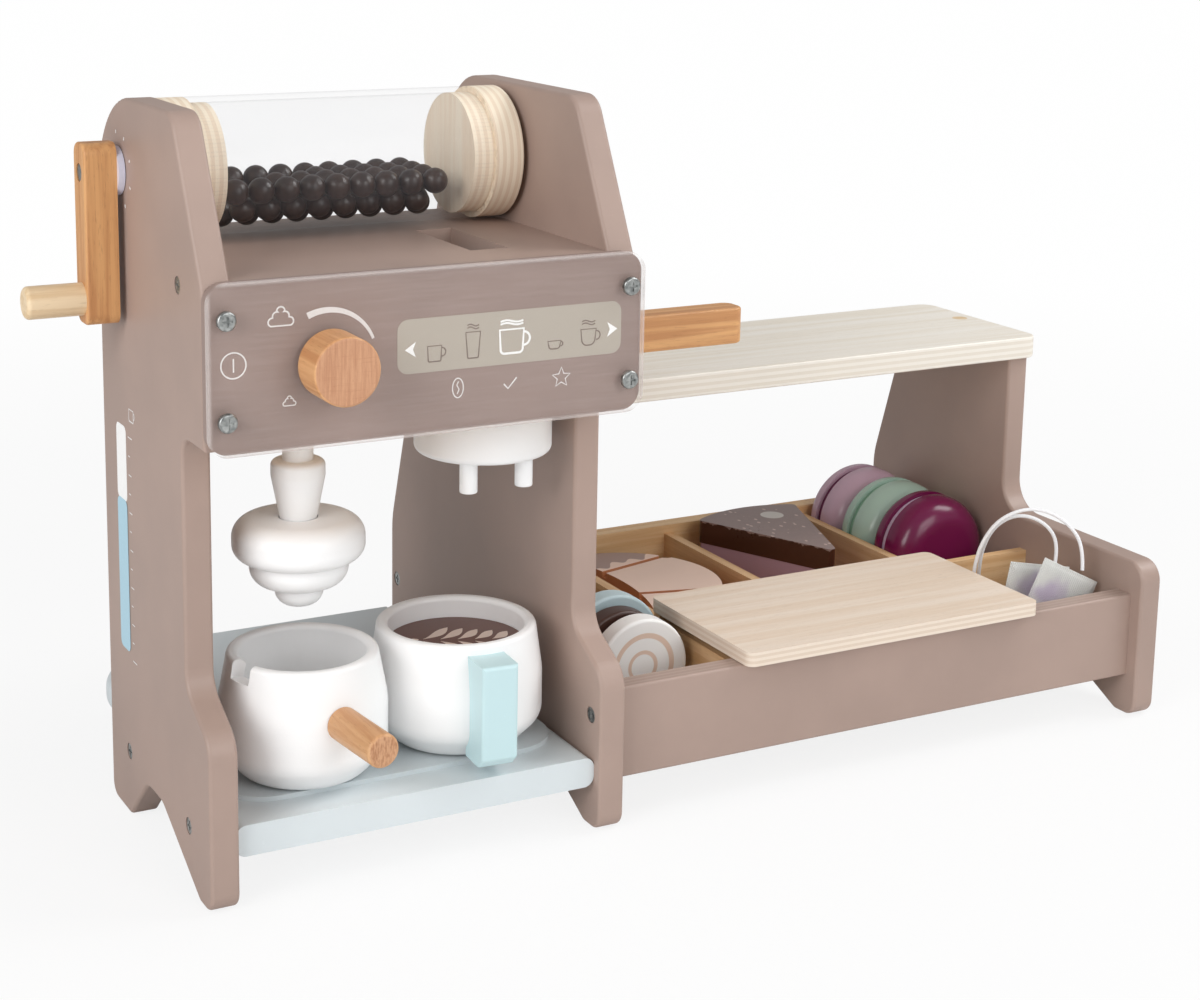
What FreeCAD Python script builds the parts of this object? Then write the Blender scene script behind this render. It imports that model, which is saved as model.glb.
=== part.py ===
import FreeCAD, Part
import math
import os

import Sketcher
from FreeCAD import Rotation, Vector

# Toy coffee maker of painted board and beech, with a storage box, a shelf and play food.
# Millimetres. X runs along the front from the left panel's outer face, Y from the feet's front
# faces to the back, Z up from the ground. Each sub-part is then moved so that the origin lies
# under the middle of the whole set.

os.makedirs("parts", exist_ok=True)
doc = FreeCAD.newDocument("toy_coffee_maker")
sheet = doc.addObject("Spreadsheet::Sheet", "Size")

sizes = [
    # the three side panels
    ("panel_thick", 12, "board of the side panels"),
    ("panel_round", 1.6, "eased edges of the panels"),
    ("machine_width", 184, "over the left and middle panels"),
    ("set_length", 481, "over the left and end panels"),
    ("left_depth", 130, "left panel, front to back"),
    ("deep_depth", 217, "middle and end panels, front to back at the ground"),
    ("top_height", 310, "top of the tall panels"),
    ("top_front", 32, "front of the tall panels' top edge"),
    ("middle_top_depth", 145, "back of the middle panel's top edge"),
    ("slant_height", 80, "where the back edges start to lean"),
    ("foot_height", 70, "where the foot's front edge turns in"),
    ("neck_front", 26.5, "front of the neck behind the feet"),
    ("neck_low", 84, "lower end of the neck"),
    ("arch_rise", 23, "arch between the feet"),
    ("front_foot_long", 14, "flat of the front feet"),
    ("back_foot_long", 26, "flat of the back feet"),
    ("arch_lead", 24, "slope of the arch behind"),
    ("arch_reach", 60, "front end of the arch's flat"),
    ("end_shoulder", 77, "top of the end panel's low part"),
    ("end_neck_front", 105, "front of the end panel's neck"),
    # the head of the machine
    ("head_low", 185, "lower edge of the fascia"),
    ("head_high", 251, "upper edge of the fascia"),
    ("fascia_board_thick", 5, "painted board behind the clear plate"),
    ("fascia_plate_thick", 3, "clear plate"),
    ("fascia_corner", 8, "corner of the clear plate"),
    ("fascia_screw_wide", 7.6, "pan heads on the fascia"),
    ("fascia_screw_tall", 2, "height of the pan heads"),
    ("fascia_screw_in", 6.6, "screws from the plate's ends"),
    ("fascia_screw_up", 13.8, "screws from the plate's long edges"),
    ("top_board_thick", 10, "board under the drum"),
    ("top_board_depth", 131, "back of the top board"),
    ("slot_left", 122.5, "left side of the bean slot"),
    ("slot_wide", 17, "bean slot along X"),
    ("slot_front", 26, "front of the bean slot"),
    ("slot_long", 54, "bean slot along Y"),
    ("floor_thick", 10, "hidden board that carries nozzle and brewing head"),
    ("floor_depth", 105, "back of that board"),
    ("floor_lift", 2, "that board above the fascia's lower edge"),
    # knob
    ("knob_x", 48, "knob's axis"),
    ("knob_z", 217.5, "knob's axis"),
    ("knob_wide", 26.8, "knob's diameter"),
    ("knob_tall", 16.6, "knob's length"),
    ("knob_round", 1.2, "eased rim of the knob"),
    ("knob_pin_wide", 6, "knob's spindle"),
    ("run_clearance", 0.3, "gap between parts that move past each other"),
    ("shaft_clearance", 0.05, "radial play of shafts in their holes"),
    # bean drum and crank
    ("drum_y", 98.7, "drum's axis"),
    ("drum_z", 279.7, "drum's axis"),
    ("drum_wide", 57, "outside of the tube and its end discs"),
    ("tube_wall", 2.5, "clear tube's wall"),
    ("disc_thick", 13, "outer end discs"),
    ("plug_thick", 9.5, "discs that plug the tube"),
    ("disc_gap", 2.5, "between a panel and the end disc"),
    ("axle_wide", 8, "drum's axle"),
    ("bead_wide", 11, "coffee beans"),
    ("washer_wide", 20, "white washer behind the crank"),
    ("washer_thick", 2.7, "white washer behind the crank"),
    ("arm_wide", 15, "crank arm along Y"),
    ("arm_thick", 13.5, "crank arm along X"),
    ("arm_over", 12, "crank arm above the axis"),
    ("arm_under", 61.9, "crank arm below the axis"),
    ("arm_corner", 5, "rounded ends of the crank arm"),
    ("peg_wide", 13.5, "crank's grip"),
    ("peg_long", 24, "crank's grip"),
    ("peg_drop", 51.5, "grip below the drum's axis"),
    # steam nozzle and milk foam
    ("nozzle_x", 55, "nozzle's axis"),
    ("nozzle_y", 45, "nozzle's axis"),
    ("stub_wide", 12.6, "nozzle's neck"),
    ("nozzle_wide", 22.2, "nozzle at its shoulder"),
    ("nozzle_top", 166.5, "top of the nozzle's shoulder"),
    ("nozzle_belly", 160, "lower end of the shoulder"),
    ("nozzle_tip", 138, "lower end of the nozzle"),
    ("nozzle_tip_wide", 13.6, "nozzle's tip"),
    ("foam_hole_wide", 16.2, "hole in the top of the foam"),
    ("foam_top", 142.5, "top face of the foam"),
    ("foam_ring_tall", 17.4, "upper ring of the foam"),
    ("foam_ring_wide", 54.4, "upper ring of the foam"),
    ("foam_middle_tall", 11, "middle ring of the foam"),
    ("foam_middle_wide", 40.6, "middle ring of the foam"),
    ("foam_drop_tall", 8.6, "lowest ring of the foam"),
    ("foam_drop_wide", 20, "lowest ring of the foam"),
    # brewing head and its lever
    ("brew_x", 137.5, "brewing head's axis"),
    ("brew_y", 44, "brewing head's axis"),
    ("brew_wide", 58, "brewing head"),
    ("brew_low", 161.5, "underside of the brewing head"),
    ("brew_tall", 21, "height of the brewing head"),
    ("brew_collar_wide", 24, "collar on top of the brewing head"),
    ("spout_wide", 7.5, "two spouts"),
    ("spout_long", 14, "two spouts"),
    ("spout_apart", 25.6, "between the spouts' axes"),
    ("spout_forward", 13, "spouts in front of the head's axis"),
    ("brew_pin_wide", 10, "spindle of the brewing head"),
    ("lever_wide", 14, "lever along Y"),
    ("lever_tall", 16, "lever along Z"),
    ("lever_reach", 262, "free end of the lever"),
    ("lever_corner", 5, "rounded end of the lever"),
    ("lever_swing", 15, "degrees each way"),
    # base board
    ("base_low", 19.5, "underside of the base board"),
    ("base_thick", 13, "base board"),
    ("base_front", 5, "front edge of the base board"),
    ("base_corner", 45, "large corner at the back left"),
    ("base_round", 4.5, "eased side edges of the base board"),
    ("pad_thick", 2, "raised pad on the base board"),
    ("pad_front", 21.5, "front edge of the pad"),
    ("pad_corner", 22, "front corners of the pad"),
    ("pad_back_in", 4, "pad from the board's back edge"),
    # milk jug
    ("jug_x", 55.5, "jug's axis"),
    ("jug_y", 43, "jug's axis"),
    ("jug_wide", 70, "jug at its widest"),
    ("jug_tall", 52.5, "jug"),
    ("jug_rim_wide", 62, "jug at its rim"),
    ("jug_foot_wide", 50, "flat under the jug"),
    ("vessel_wall", 5, "wall at the rim of jug and cup"),
    ("vessel_floor", 8, "floor of jug and cup"),
    ("jug_grip_wide", 14, "jug's handle"),
    ("jug_grip_long", 33, "jug's handle outside the jug"),
    ("jug_grip_turn", -84, "direction of the jug's handle, degrees from X"),
    ("jug_grip_up", 31, "handle's axis above the jug's foot"),
    ("spout_notch_wide", 12, "pouring notch in the jug's rim"),
    ("spout_notch_turn", 196, "direction of the notch, degrees from X"),
    # cup
    ("cup_x", 128, "cup's axis"),
    ("cup_y", 49, "cup's axis"),
    ("cup_wide", 74, "cup at its widest"),
    ("cup_tall", 51.5, "cup"),
    ("cup_rim_wide", 68, "cup at its rim"),
    ("cup_foot_wide", 52, "flat under the cup"),
    ("cup_ear_turn", -94, "direction of the cup's handle, degrees from X"),
    ("cup_ear_wide", 16, "cup's handle, side to side"),
    ("cup_ear_out", 13, "how far the handle stands out"),
    ("cup_ear_tall", 44, "cup's handle"),
    ("coffee_drop", 9.5, "coffee below the cup's rim"),
    ("coffee_thick", 3, "coffee disc"),
    # storage box
    ("box_low", 19.5, "underside of the box's walls"),
    ("box_high", 60.5, "top of the box's walls"),
    ("box_front_y", 7, "front face of the box"),
    ("box_front_thick", 10.5, "box's front board"),
    ("box_back_y", 200, "inner face of the box's back"),
    ("box_back_thick", 9, "box's back board"),
    ("box_floor_low", 21, "underside of the box's floor"),
    ("box_floor_thick", 4, "box's floor"),
    ("divider_thick", 5, "thin dividers"),
    ("divider_high", 56, "top of the dividers"),
    ("divider_one_x", 253, "first divider"),
    ("divider_two_x", 325, "second divider"),
    ("divider_three_x", 409, "third divider"),
    ("rail_y", 84, "front face of the cross rail"),
    ("fit_clearance", 0.1, "side play of the dividers' halved joints"),
    # shelf and board
    ("shelf_low", 157.5, "underside of the shelf"),
    ("shelf_thick", 11, "shelf"),
    ("shelf_front", 100, "front edge of the shelf"),
    ("shelf_back", 194, "back edge of the shelf"),
    ("shelf_over", 3, "shelf past the end panel"),
    ("shelf_corner", 8, "corners at the shelf's free end"),
    ("shelf_plug_wide", 8, "plug over the shelf's screw"),
    ("shelf_plug_deep", 3, "plug over the shelf's screw"),
    ("lid_left", 247, "left edge of the loose board"),
    ("lid_long", 161, "loose board along X"),
    ("lid_front", 2, "front edge of the loose board"),
    ("lid_deep", 85, "loose board along Y"),
    ("lid_thick", 6.5, "loose board"),
    ("lid_corner", 4, "corners of the loose board"),
    # play food
    ("croissant_tall", 28, "croissant"),
    ("croissant_long", 92, "croissant, tip to tip"),
    ("croissant_wide", 58, "croissant at its middle"),
    ("croissant_cut", 3, "grooves between the rolls"),
    ("cake_low_tall", 28, "lower layer of the cake"),
    ("cake_high_tall", 12, "upper layer of the cake"),
    ("cake_long", 84, "cake from tip to rind"),
    ("cake_half_angle", 22, "half of the slice's angle, degrees"),
    ("cake_x", 371, "cake's tip"),
    ("cake_y", 111, "cake's tip"),
    ("macaron_wide", 57, "macarons"),
    ("macaron_front", 15.5, "front shell of a macaron"),
    ("macaron_back", 8.5, "back shell of a macaron"),
    ("macaron_cream", 4.4, "filling of a macaron"),
    ("macaron_first_y", 112, "front of the first macaron"),
    ("macaron_gap", 0.4, "between macarons"),
    ("biscuit_wide", 46, "light and dark biscuits"),
    ("biscuit_thick", 10, "biscuits"),
    ("biscuit_x", 222, "light biscuit"),
    ("biscuit_y", 50, "light biscuit"),
    ("biscuit_step", 13.4, "from one biscuit to the next"),
    ("blue_biscuit_wide", 49, "blue biscuit"),
    ("tea_bag_wide", 40, "tea bags"),
    ("tea_bag_tall", 42, "tea bags"),
    ("tea_bag_thick", 9, "tea bags"),
    ("string_wide", 1.8, "tea bags' strings"),
]


class Dim:
    """A length that knows its value and its spreadsheet formula."""

    def __init__(self, value, text):
        self.value = float(value)
        self.text = text

    def join(self, other, sign, value):
        right = other.text if isinstance(other, Dim) else repr(float(other))
        return Dim(value, "(%s %s %s)" % (self.text, sign, right))

    def __add__(self, other):
        return self.join(other, "+", self.value + number(other))

    def __sub__(self, other):
        return self.join(other, "-", self.value - number(other))

    def __mul__(self, other):
        return self.join(other, "*", self.value * number(other))

    def __truediv__(self, other):
        return self.join(other, "/", self.value / number(other))

    def __neg__(self):
        return Dim(-self.value, "(0 - %s)" % self.text)


def number(size):
    return size.value if isinstance(size, Dim) else float(size)


def formula(size):
    return size.text if isinstance(size, Dim) else repr(float(size))


class Sizes:
    """The spreadsheet's cells, each read by its alias."""

    def add(self, alias, value):
        setattr(self, alias, Dim(value, "Size." + alias))


s = Sizes()
for line, (alias, value, meaning) in enumerate(sizes, 1):
    sheet.set("A%d" % line, alias)
    sheet.set("B%d" % line, str(value))
    sheet.set("C%d" % line, meaning)
    sheet.setAlias("B%d" % line, alias)
    s.add(alias, value)
doc.recompute()

# The middle of the whole set's box lies over the origin.
peg_tip = -(s.washer_thick + s.run_clearance + s.arm_thick + s.peg_long)
knob_face = -(s.fascia_board_thick + s.fascia_plate_thick + s.run_clearance + s.knob_tall)
shelf_tip = s.set_length + s.shelf_over
middle_x = (shelf_tip + peg_tip) / 2
middle_y = (s.deep_depth + knob_face) / 2

finished = []


def finish(thing, label):
    """Name a finished sub-part and move it into the set's frame."""
    thing.Label = label
    thing.setExpression("Placement.Base.x", "0 - " + middle_x.text)
    thing.setExpression("Placement.Base.y", "0 - " + middle_y.text)
    finished.append(thing)
    return thing


def new_body(label):
    return doc.addObject("PartDesign::Body", label)


def origin_plane(body, role):
    for feature in body.Origin.OriginFeatures:
        if feature.Role == role:
            return feature
    raise ValueError(role)


def attach(body, role, name, offset=0):
    """A sketch on one of the body's own planes, moved along the plane's normal."""
    sketch = body.newObject("Sketcher::SketchObject", name)
    sketch.AttachmentSupport = (origin_plane(body, role), [""])
    sketch.MapMode = "FlatFace"
    sketch.setExpression("AttachmentOffset.Base.z", formula(offset))
    return sketch


def pin_point(sketch, geometry, end, across, up):
    """Tie a sketch point to its two sizes, measured from the sketch's origin."""
    for kind, size, axis in (("DistanceX", across, -2), ("DistanceY", up, -1)):
        if abs(number(size)) < 1e-9:
            sketch.addConstraint(Sketcher.Constraint("PointOnObject", geometry, end, axis))
        else:
            rule = Sketcher.Constraint(kind, -1, 1, geometry, end, number(size))
            index = sketch.addConstraint(rule)
            if isinstance(size, Dim):
                sketch.setExpression("Constraints[%d]" % index, size.text)


def outline(sketch, corners):
    """A closed outline of straight edges whose corners are tied to sizes."""
    count = len(corners)
    points = [Vector(number(a), number(b), 0) for a, b in corners]
    for i in range(count):
        sketch.addGeometry(Part.LineSegment(points[i], points[(i + 1) % count]), False)
    for i in range(count):
        sketch.addConstraint(Sketcher.Constraint("Coincident", i, 2, (i + 1) % count, 1))
    for i, (across, up) in enumerate(corners):
        pin_point(sketch, i, 1, across, up)


def circle(sketch, across, up, wide):
    """A full circle whose centre and diameter are tied to sizes."""
    centre = Vector(number(across), number(up), 0)
    index = sketch.addGeometry(Part.Circle(centre, Vector(0, 0, 1), number(wide) / 2), False)
    pin_point(sketch, index, 3, across, up)
    rule = sketch.addConstraint(Sketcher.Constraint("Diameter", index, number(wide)))
    sketch.setExpression("Constraints[%d]" % rule, formula(wide))


def pad(body, sketch, length):
    feature = body.newObject("PartDesign::Pad", sketch.Name + "_pad")
    feature.Profile = sketch
    feature.setExpression("Length", formula(length))
    doc.recompute()
    return feature


def pocket(body, sketch, length, back=False):
    """Cut a sketch into the body, turned round when the first way takes nothing off."""
    before = body.Tip.Shape.Volume
    feature = body.newObject("PartDesign::Pocket", sketch.Name + "_cut")
    feature.Profile = sketch
    feature.setExpression("Length", formula(length))
    feature.Reversed = back
    doc.recompute()
    if feature.Shape.isNull() or abs(feature.Shape.Volume - before) < 1e-3:
        feature.Reversed = not back
        doc.recompute()
    return feature


PLANES = {
    "X": ("YZ_Plane", 1),
    "Y": ("XZ_Plane", -1),
    "Z": ("XY_Plane", 1),
}


def prism(body, name, way, corners, start, end):
    """A straight block between two places along one axis."""
    role, sign = PLANES[way]
    offset = start if sign > 0 else -end
    sketch = attach(body, role, name, offset)
    outline(sketch, corners)
    return pad(body, sketch, end - start)


def rod(body, name, way, across, up, wide, start, end):
    """A round bar between two places along one axis."""
    role, sign = PLANES[way]
    offset = start if sign > 0 else -end
    sketch = attach(body, role, name, offset)
    circle(sketch, across, up, wide)
    return pad(body, sketch, end - start)


def hole(body, name, way, across, up, wide, start, end):
    """A round hole between two places along one axis."""
    role, sign = PLANES[way]
    offset = start if sign > 0 else -end
    sketch = attach(body, role, name, offset)
    circle(sketch, across, up, wide)
    return pocket(body, sketch, end - start, True)


def window(body, name, way, corners, start, end):
    """A straight-sided cut between two places along one axis."""
    role, sign = PLANES[way]
    offset = start if sign > 0 else -end
    sketch = attach(body, role, name, offset)
    outline(sketch, corners)
    return pocket(body, sketch, end - start, True)


def box_corners(left, right, low, high):
    return [(left, low), (right, low), (right, high), (left, high)]


def block(label, left, right, front, back, low, high):
    """A plain board, as a body with one pad."""
    body = new_body(label)
    prism(body, label + "_outline", "Z", box_corners(left, right, front, back), low, high)
    return body


def flat_point(point, way):
    return {"X": (point.y, point.z), "Y": (point.x, point.z), "Z": (point.x, point.y)}[way]


def round_corners(body, name, way, corners, radius):
    """Round the straight edges that run one way through the given corners."""
    picked = []
    for index, edge in enumerate(body.Tip.Shape.Edges, 1):
        ends = [v.Point for v in edge.Vertexes]
        if len(ends) != 2 or not isinstance(edge.Curve, Part.Line):
            continue
        first, last = flat_point(ends[0], way), flat_point(ends[1], way)
        if math.dist(first, last) > 1e-4:
            continue
        for across, up in corners:
            if math.dist(first, (number(across), number(up))) < 0.02:
                picked.append("Edge%d" % index)
                break
    return fillet(body, name, picked, radius)


def fillet(body, name, picked, radius):
    before = body.Tip
    feature = body.newObject("PartDesign::Fillet", name)
    feature.Base = (before, picked)
    feature.setExpression("Radius", formula(radius))
    doc.recompute()
    body.Tip = feature
    return feature


def ease_faces(body, name, way, places, radius):
    """Ease all edges that lie in the body's flat faces at the given places."""
    picked = []
    axis = {"X": 0, "Y": 1, "Z": 2}[way]
    for index, edge in enumerate(body.Tip.Shape.Edges, 1):
        box = edge.BoundBox
        low = (box.XMin, box.YMin, box.ZMin)[axis]
        high = (box.XMax, box.YMax, box.ZMax)[axis]
        for place in places:
            if abs(low - number(place)) < 1e-4 and abs(high - number(place)) < 1e-4:
                picked.append("Edge%d" % index)
    return fillet(body, name, picked, radius)


def ease_rings(body, name, way, rings, radius):
    """Round the full circles with the given diameters and places along the axis."""
    picked = []
    axis = {"X": 0, "Y": 1, "Z": 2}[way]
    for index, edge in enumerate(body.Tip.Shape.Edges, 1):
        if not isinstance(edge.Curve, Part.Circle):
            continue
        for wide, place in rings:
            same_width = abs(edge.Curve.Radius * 2 - number(wide)) < 1e-3
            same_place = abs(edge.Curve.Center[axis] - number(place)) < 1e-3
            if same_width and same_place:
                picked.append("Edge%d" % index)
    return fillet(body, name, picked, radius)


def turned(label, x, y, profile):
    """A piece turned on a lathe about an upright axis; the profile holds radius and height."""
    body = new_body(label)
    sketch = body.newObject("Sketcher::SketchObject", label + "_profile")
    sketch.AttachmentSupport = (origin_plane(body, "XZ_Plane"), [""])
    sketch.MapMode = "FlatFace"
    sketch.setExpression("AttachmentOffset.Base.x", formula(x))
    sketch.setExpression("AttachmentOffset.Base.z", formula(-y))
    outline(sketch, profile)
    feature = body.newObject("PartDesign::Revolution", label + "_turned")
    feature.Profile = sketch
    feature.ReferenceAxis = (sketch, ["V_Axis"])
    feature.Angle = 360
    doc.recompute()
    return body


# Side panels

panel_inner = s.panel_thick
middle_left = s.machine_width - s.panel_thick
end_left = s.set_length - s.panel_thick


def arch(back):
    """The feet and the arch between them, from the back foot to the front one."""
    toe = back - s.back_foot_long
    heel = toe - s.arch_lead
    return [(back, 0), (toe, 0), (heel, s.arch_rise), (s.arch_reach, s.arch_rise), (s.front_foot_long, 0)]


def round_feet(body, back):
    feet = arch(back)
    round_corners(body, body.Label + "_toes", "X", [(0, 0), feet[0]], 7)
    round_corners(body, body.Label + "_arch", "X", [feet[2], feet[3]], 12)
    round_corners(body, body.Label + "_heels", "X", [feet[1], feet[4]], 5)


def tall_panel(label, left, right, back, top_back, slanted):
    """A tall side panel with its neck, its leaning brow and its feet."""
    brow_foot = (0, s.head_high - 4)
    front = [(0, 0), (0, s.foot_height), (s.neck_front, s.neck_low)]
    front += [(s.neck_front, s.head_low + 1), (0, s.head_low + 1), brow_foot]
    top = [(s.top_front, s.top_height), (top_back, s.top_height)]
    rear = [(back, s.slant_height)] if slanted else []
    body = new_body(label)
    prism(body, label + "_outline", "X", front + top + rear + arch(back), left, right)
    round_feet(body, back)
    round_corners(body, label + "_knee", "X", [front[1], front[2]], 13)
    round_corners(body, label + "_chin", "X", [front[3]], 8)
    round_corners(body, label + "_brow", "X", [brow_foot, top[0]], 12)
    round_corners(body, label + "_crown", "X", [top[1]], 28 if slanted else 45)
    if slanted:
        round_corners(body, label + "_hip", "X", rear, 40)
    return body


axle_hole = s.axle_wide + s.shaft_clearance * 2

panel_left = tall_panel("panel_left", Dim(0, "0"), panel_inner, s.left_depth, s.left_depth, False)
ease_faces(panel_left, "panel_left_eased", "X", [0, panel_inner], s.panel_round)
hole(panel_left, "panel_left_axle", "X", s.drum_y, s.drum_z, axle_hole, Dim(0, "0"), panel_inner)
screw_wide = 7
left_screws = [(27, 245), (103.6, 29), (26, 27)]
for i, (y, z) in enumerate(left_screws):
    hole(panel_left, "panel_left_screw_%d" % i, "X", y, z, screw_wide, Dim(0, "0"), Dim(1.5, "1.5"))
finish(panel_left, "panel_left")

panel_middle = tall_panel(
    "panel_middle", middle_left, s.machine_width, s.deep_depth, s.middle_top_depth, True
)
ease_faces(panel_middle, "panel_middle_eased", "X", [middle_left, s.machine_width], s.panel_round)
axle_seat = Dim(8, "8")
hole(
    panel_middle, "panel_middle_axle", "X", s.drum_y, s.drum_z, axle_hole,
    middle_left, middle_left + axle_seat,
)
lever_low = s.head_low + s.floor_lift + s.floor_thick + s.run_clearance
lever_high = lever_low + s.lever_tall
swing = math.radians(s.lever_swing.value)
swing_room = Dim(2, "2")
reach = s.machine_width - s.brew_x
gate_half = s.lever_wide * (0.5 / math.cos(swing)) + reach * math.tan(swing) + swing_room
window(
    panel_middle, "panel_middle_gate", "X",
    box_corners(s.brew_y - gate_half, s.brew_y + gate_half, lever_low - 1.5, lever_high + 1.5),
    middle_left, s.machine_width,
)
middle_screws = [(8.5, 50), (209.7, 49.6)]
for i, (y, z) in enumerate(middle_screws):
    hole(
        panel_middle, "panel_middle_screw_%d" % i, "X", y, z, screw_wide,
        middle_left, middle_left + 1.5,
    )
finish(panel_middle, "panel_middle")

panel_end = new_body("panel_end")
end_lean = s.deep_depth - (s.deep_depth - s.middle_top_depth) * (
    (s.shelf_low.value - s.slant_height.value) / (s.top_height.value - s.slant_height.value)
)
end_shape = [(0, 0), (0, s.end_shoulder), (s.end_neck_front, s.end_shoulder)]
end_shape += [(s.end_neck_front, s.shelf_low), (end_lean, s.shelf_low), (s.deep_depth, s.slant_height)]
prism(panel_end, "panel_end_outline", "X", end_shape + arch(s.deep_depth), end_left, s.set_length)
round_feet(panel_end, s.deep_depth)
round_corners(panel_end, "panel_end_shoulder", "X", [end_shape[1]], 10)
round_corners(panel_end, "panel_end_neck", "X", [end_shape[2]], 16)
round_corners(panel_end, "panel_end_hip", "X", [end_shape[5]], 40)
ease_faces(panel_end, "panel_end_eased", "X", [end_left, s.set_length], s.panel_round)
finish(panel_end, "panel_end")


def recessed_screws(label, places, start, sign):
    """Countersunk screws with a cross in each head, set in the panel's recesses."""
    solids = []
    for y, z in places:
        centre = Vector(start, y, z)
        head = Part.makeCylinder(screw_wide / 2 - 0.2, 1.2, centre, Vector(sign, 0, 0))
        for turn in (0, 90):
            bar = Part.makeBox(0.6, 4, 1, Vector(-0.3, -2, -0.5))
            bar.Placement = FreeCAD.Placement(centre + Vector(sign * 1.2, 0, 0), Rotation(Vector(1, 0, 0), turn))
            head = head.cut(bar)
        solids.append(head)
    screws = doc.addObject("Part::Feature", label)
    screws.Shape = Part.makeCompound(solids)
    return finish(screws, label)


recessed_screws("screws_left_panel", left_screws, 1.5, -1)
recessed_screws("screws_middle_panel", middle_screws, middle_left.value + 1.5, -1)

# Base board with its raised pad

base_high = s.base_low + s.base_thick
base = block("base_board", panel_inner, middle_left, s.base_front, s.deep_depth, s.base_low, base_high)
round_corners(base, "base_big_corner", "Z", [(panel_inner, s.deep_depth)], s.base_corner)
base_sides = [(panel_inner, s.base_low), (panel_inner, base_high), (middle_left, s.base_low), (middle_left, base_high)]
round_corners(base, "base_side_edges", "Y", base_sides, s.base_round)
finish(base, "base_board")

pad_left = panel_inner + s.base_round
pad_right = middle_left - s.base_round
pad_back = s.deep_depth - s.pad_back_in
pad_top = base_high + s.pad_thick
base_pad = block("base_pad", pad_left, pad_right, s.pad_front, pad_back, base_high, pad_top)
round_corners(base_pad, "base_pad_corners", "Z", [(pad_left, s.pad_front), (pad_right, s.pad_front)], s.pad_corner)
round_corners(base_pad, "base_pad_rear", "Z", [(pad_left, pad_back)], s.base_corner)
finish(base_pad, "base_pad")

# Machine's head: fascia, clear plate, screws, top board and hidden floor board

knob_hole = s.knob_pin_wide + s.shaft_clearance * 2
fascia_back = Dim(0, "0")
board_face = -s.fascia_board_thick
plate_face = board_face - s.fascia_plate_thick

fascia_board = new_body("fascia_board")
fascia_frame = box_corners(Dim(0, "0"), s.machine_width, s.head_low + 0.5, s.head_high - 0.5)
prism(fascia_board, "fascia_board_outline", "Y", fascia_frame, board_face, fascia_back)
round_corners(fascia_board, "fascia_board_corners", "Y", fascia_frame, s.fascia_corner)
hole(fascia_board, "fascia_board_bore", "Y", s.knob_x, s.knob_z, knob_hole, board_face, fascia_back)
finish(fascia_board, "fascia_board")

fascia_plate = new_body("fascia_plate")
plate_frame = box_corners(Dim(-0.5, "-0.5"), s.machine_width + 0.5, s.head_low, s.head_high)
prism(fascia_plate, "fascia_plate_outline", "Y", plate_frame, plate_face, board_face)
round_corners(fascia_plate, "fascia_plate_corners", "Y", plate_frame, s.fascia_corner)
ease_faces(fascia_plate, "fascia_plate_eased", "Y", [plate_face], 0.8)
hole(fascia_plate, "fascia_plate_bore", "Y", s.knob_x, s.knob_z, knob_hole, plate_face, board_face)
finish(fascia_plate, "fascia_plate")


def pan_screw(x, z):
    """One pan head standing on the clear plate, with a cross cut into it."""
    wide = s.fascia_screw_wide.value
    tall = s.fascia_screw_tall.value
    face = plate_face.value
    head = Part.makeCylinder(wide / 2, tall, Vector(x, face, z), Vector(0, -1, 0))
    rim = [e for e in head.Edges if isinstance(e.Curve, Part.Circle) and e.Curve.Center.y < face - tall / 2]
    head = head.makeFillet(tall * 0.5, rim)
    for turn in (0, 90):
        bar = Part.makeBox(4, 1, 0.8, Vector(-2, -0.5, -0.4))
        bar.Placement = FreeCAD.Placement(Vector(x, face - tall, z), Rotation(Vector(0, 1, 0), turn))
        head = head.cut(bar)
    return head


screw_in, screw_up = s.fascia_screw_in.value, s.fascia_screw_up.value
heads = []
for x in (screw_in, s.machine_width.value - screw_in):
    for z in (s.head_low.value + screw_up, s.head_high.value - screw_up):
        heads.append(pan_screw(x, z))
fascia_screws = doc.addObject("Part::Feature", "fascia_screws")
fascia_screws.Shape = Part.makeCompound(heads)
finish(fascia_screws, "fascia_screws")

top_high = s.head_high - 1
top_low = top_high - s.top_board_thick
top_board = block("top_board", panel_inner, middle_left, fascia_back, s.top_board_depth, top_low, top_high)
slot = box_corners(s.slot_left, s.slot_left + s.slot_wide, s.slot_front, s.slot_front + s.slot_long)
window(top_board, "bean_slot", "Z", slot, top_low, top_high)
finish(top_board, "top_board")

floor_low = s.head_low + s.floor_lift
floor_high = floor_low + s.floor_thick
head_floor = block("head_floor", panel_inner, middle_left, fascia_back, s.floor_depth, floor_low, floor_high)
brew_hole = s.brew_pin_wide + s.shaft_clearance * 2
hole(head_floor, "head_floor_bore", "Z", s.brew_x, s.brew_y, brew_hole, floor_low, floor_high)
finish(head_floor, "head_floor")

# Knob and its spindle

knob_back = plate_face - s.run_clearance
knob = new_body("knob")
rod(knob, "knob_outline", "Y", s.knob_x, s.knob_z, s.knob_wide, knob_back - s.knob_tall, knob_back)
ease_rings(knob, "knob_rim", "Y", [(s.knob_wide, knob_back - s.knob_tall)], s.knob_round)
finish(knob, "knob")

knob_pin = new_body("knob_spindle")
collar_start = fascia_back + s.run_clearance
collar_end = collar_start + 3
rod(knob_pin, "knob_pin_outline", "Y", s.knob_x, s.knob_z, s.knob_pin_wide, knob_back, collar_end)
rod(knob_pin, "knob_pin_collar", "Y", s.knob_x, s.knob_z, s.knob_pin_wide * 2, collar_start, collar_end)
finish(knob_pin, "knob_spindle")

# Bean drum between the tall panels, with its axle

disc_left = panel_inner + s.disc_gap
disc_right = middle_left - s.disc_gap
tube_left = disc_left + s.disc_thick
tube_right = disc_right - s.disc_thick
tube_bore = s.drum_wide - s.tube_wall * 2

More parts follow.
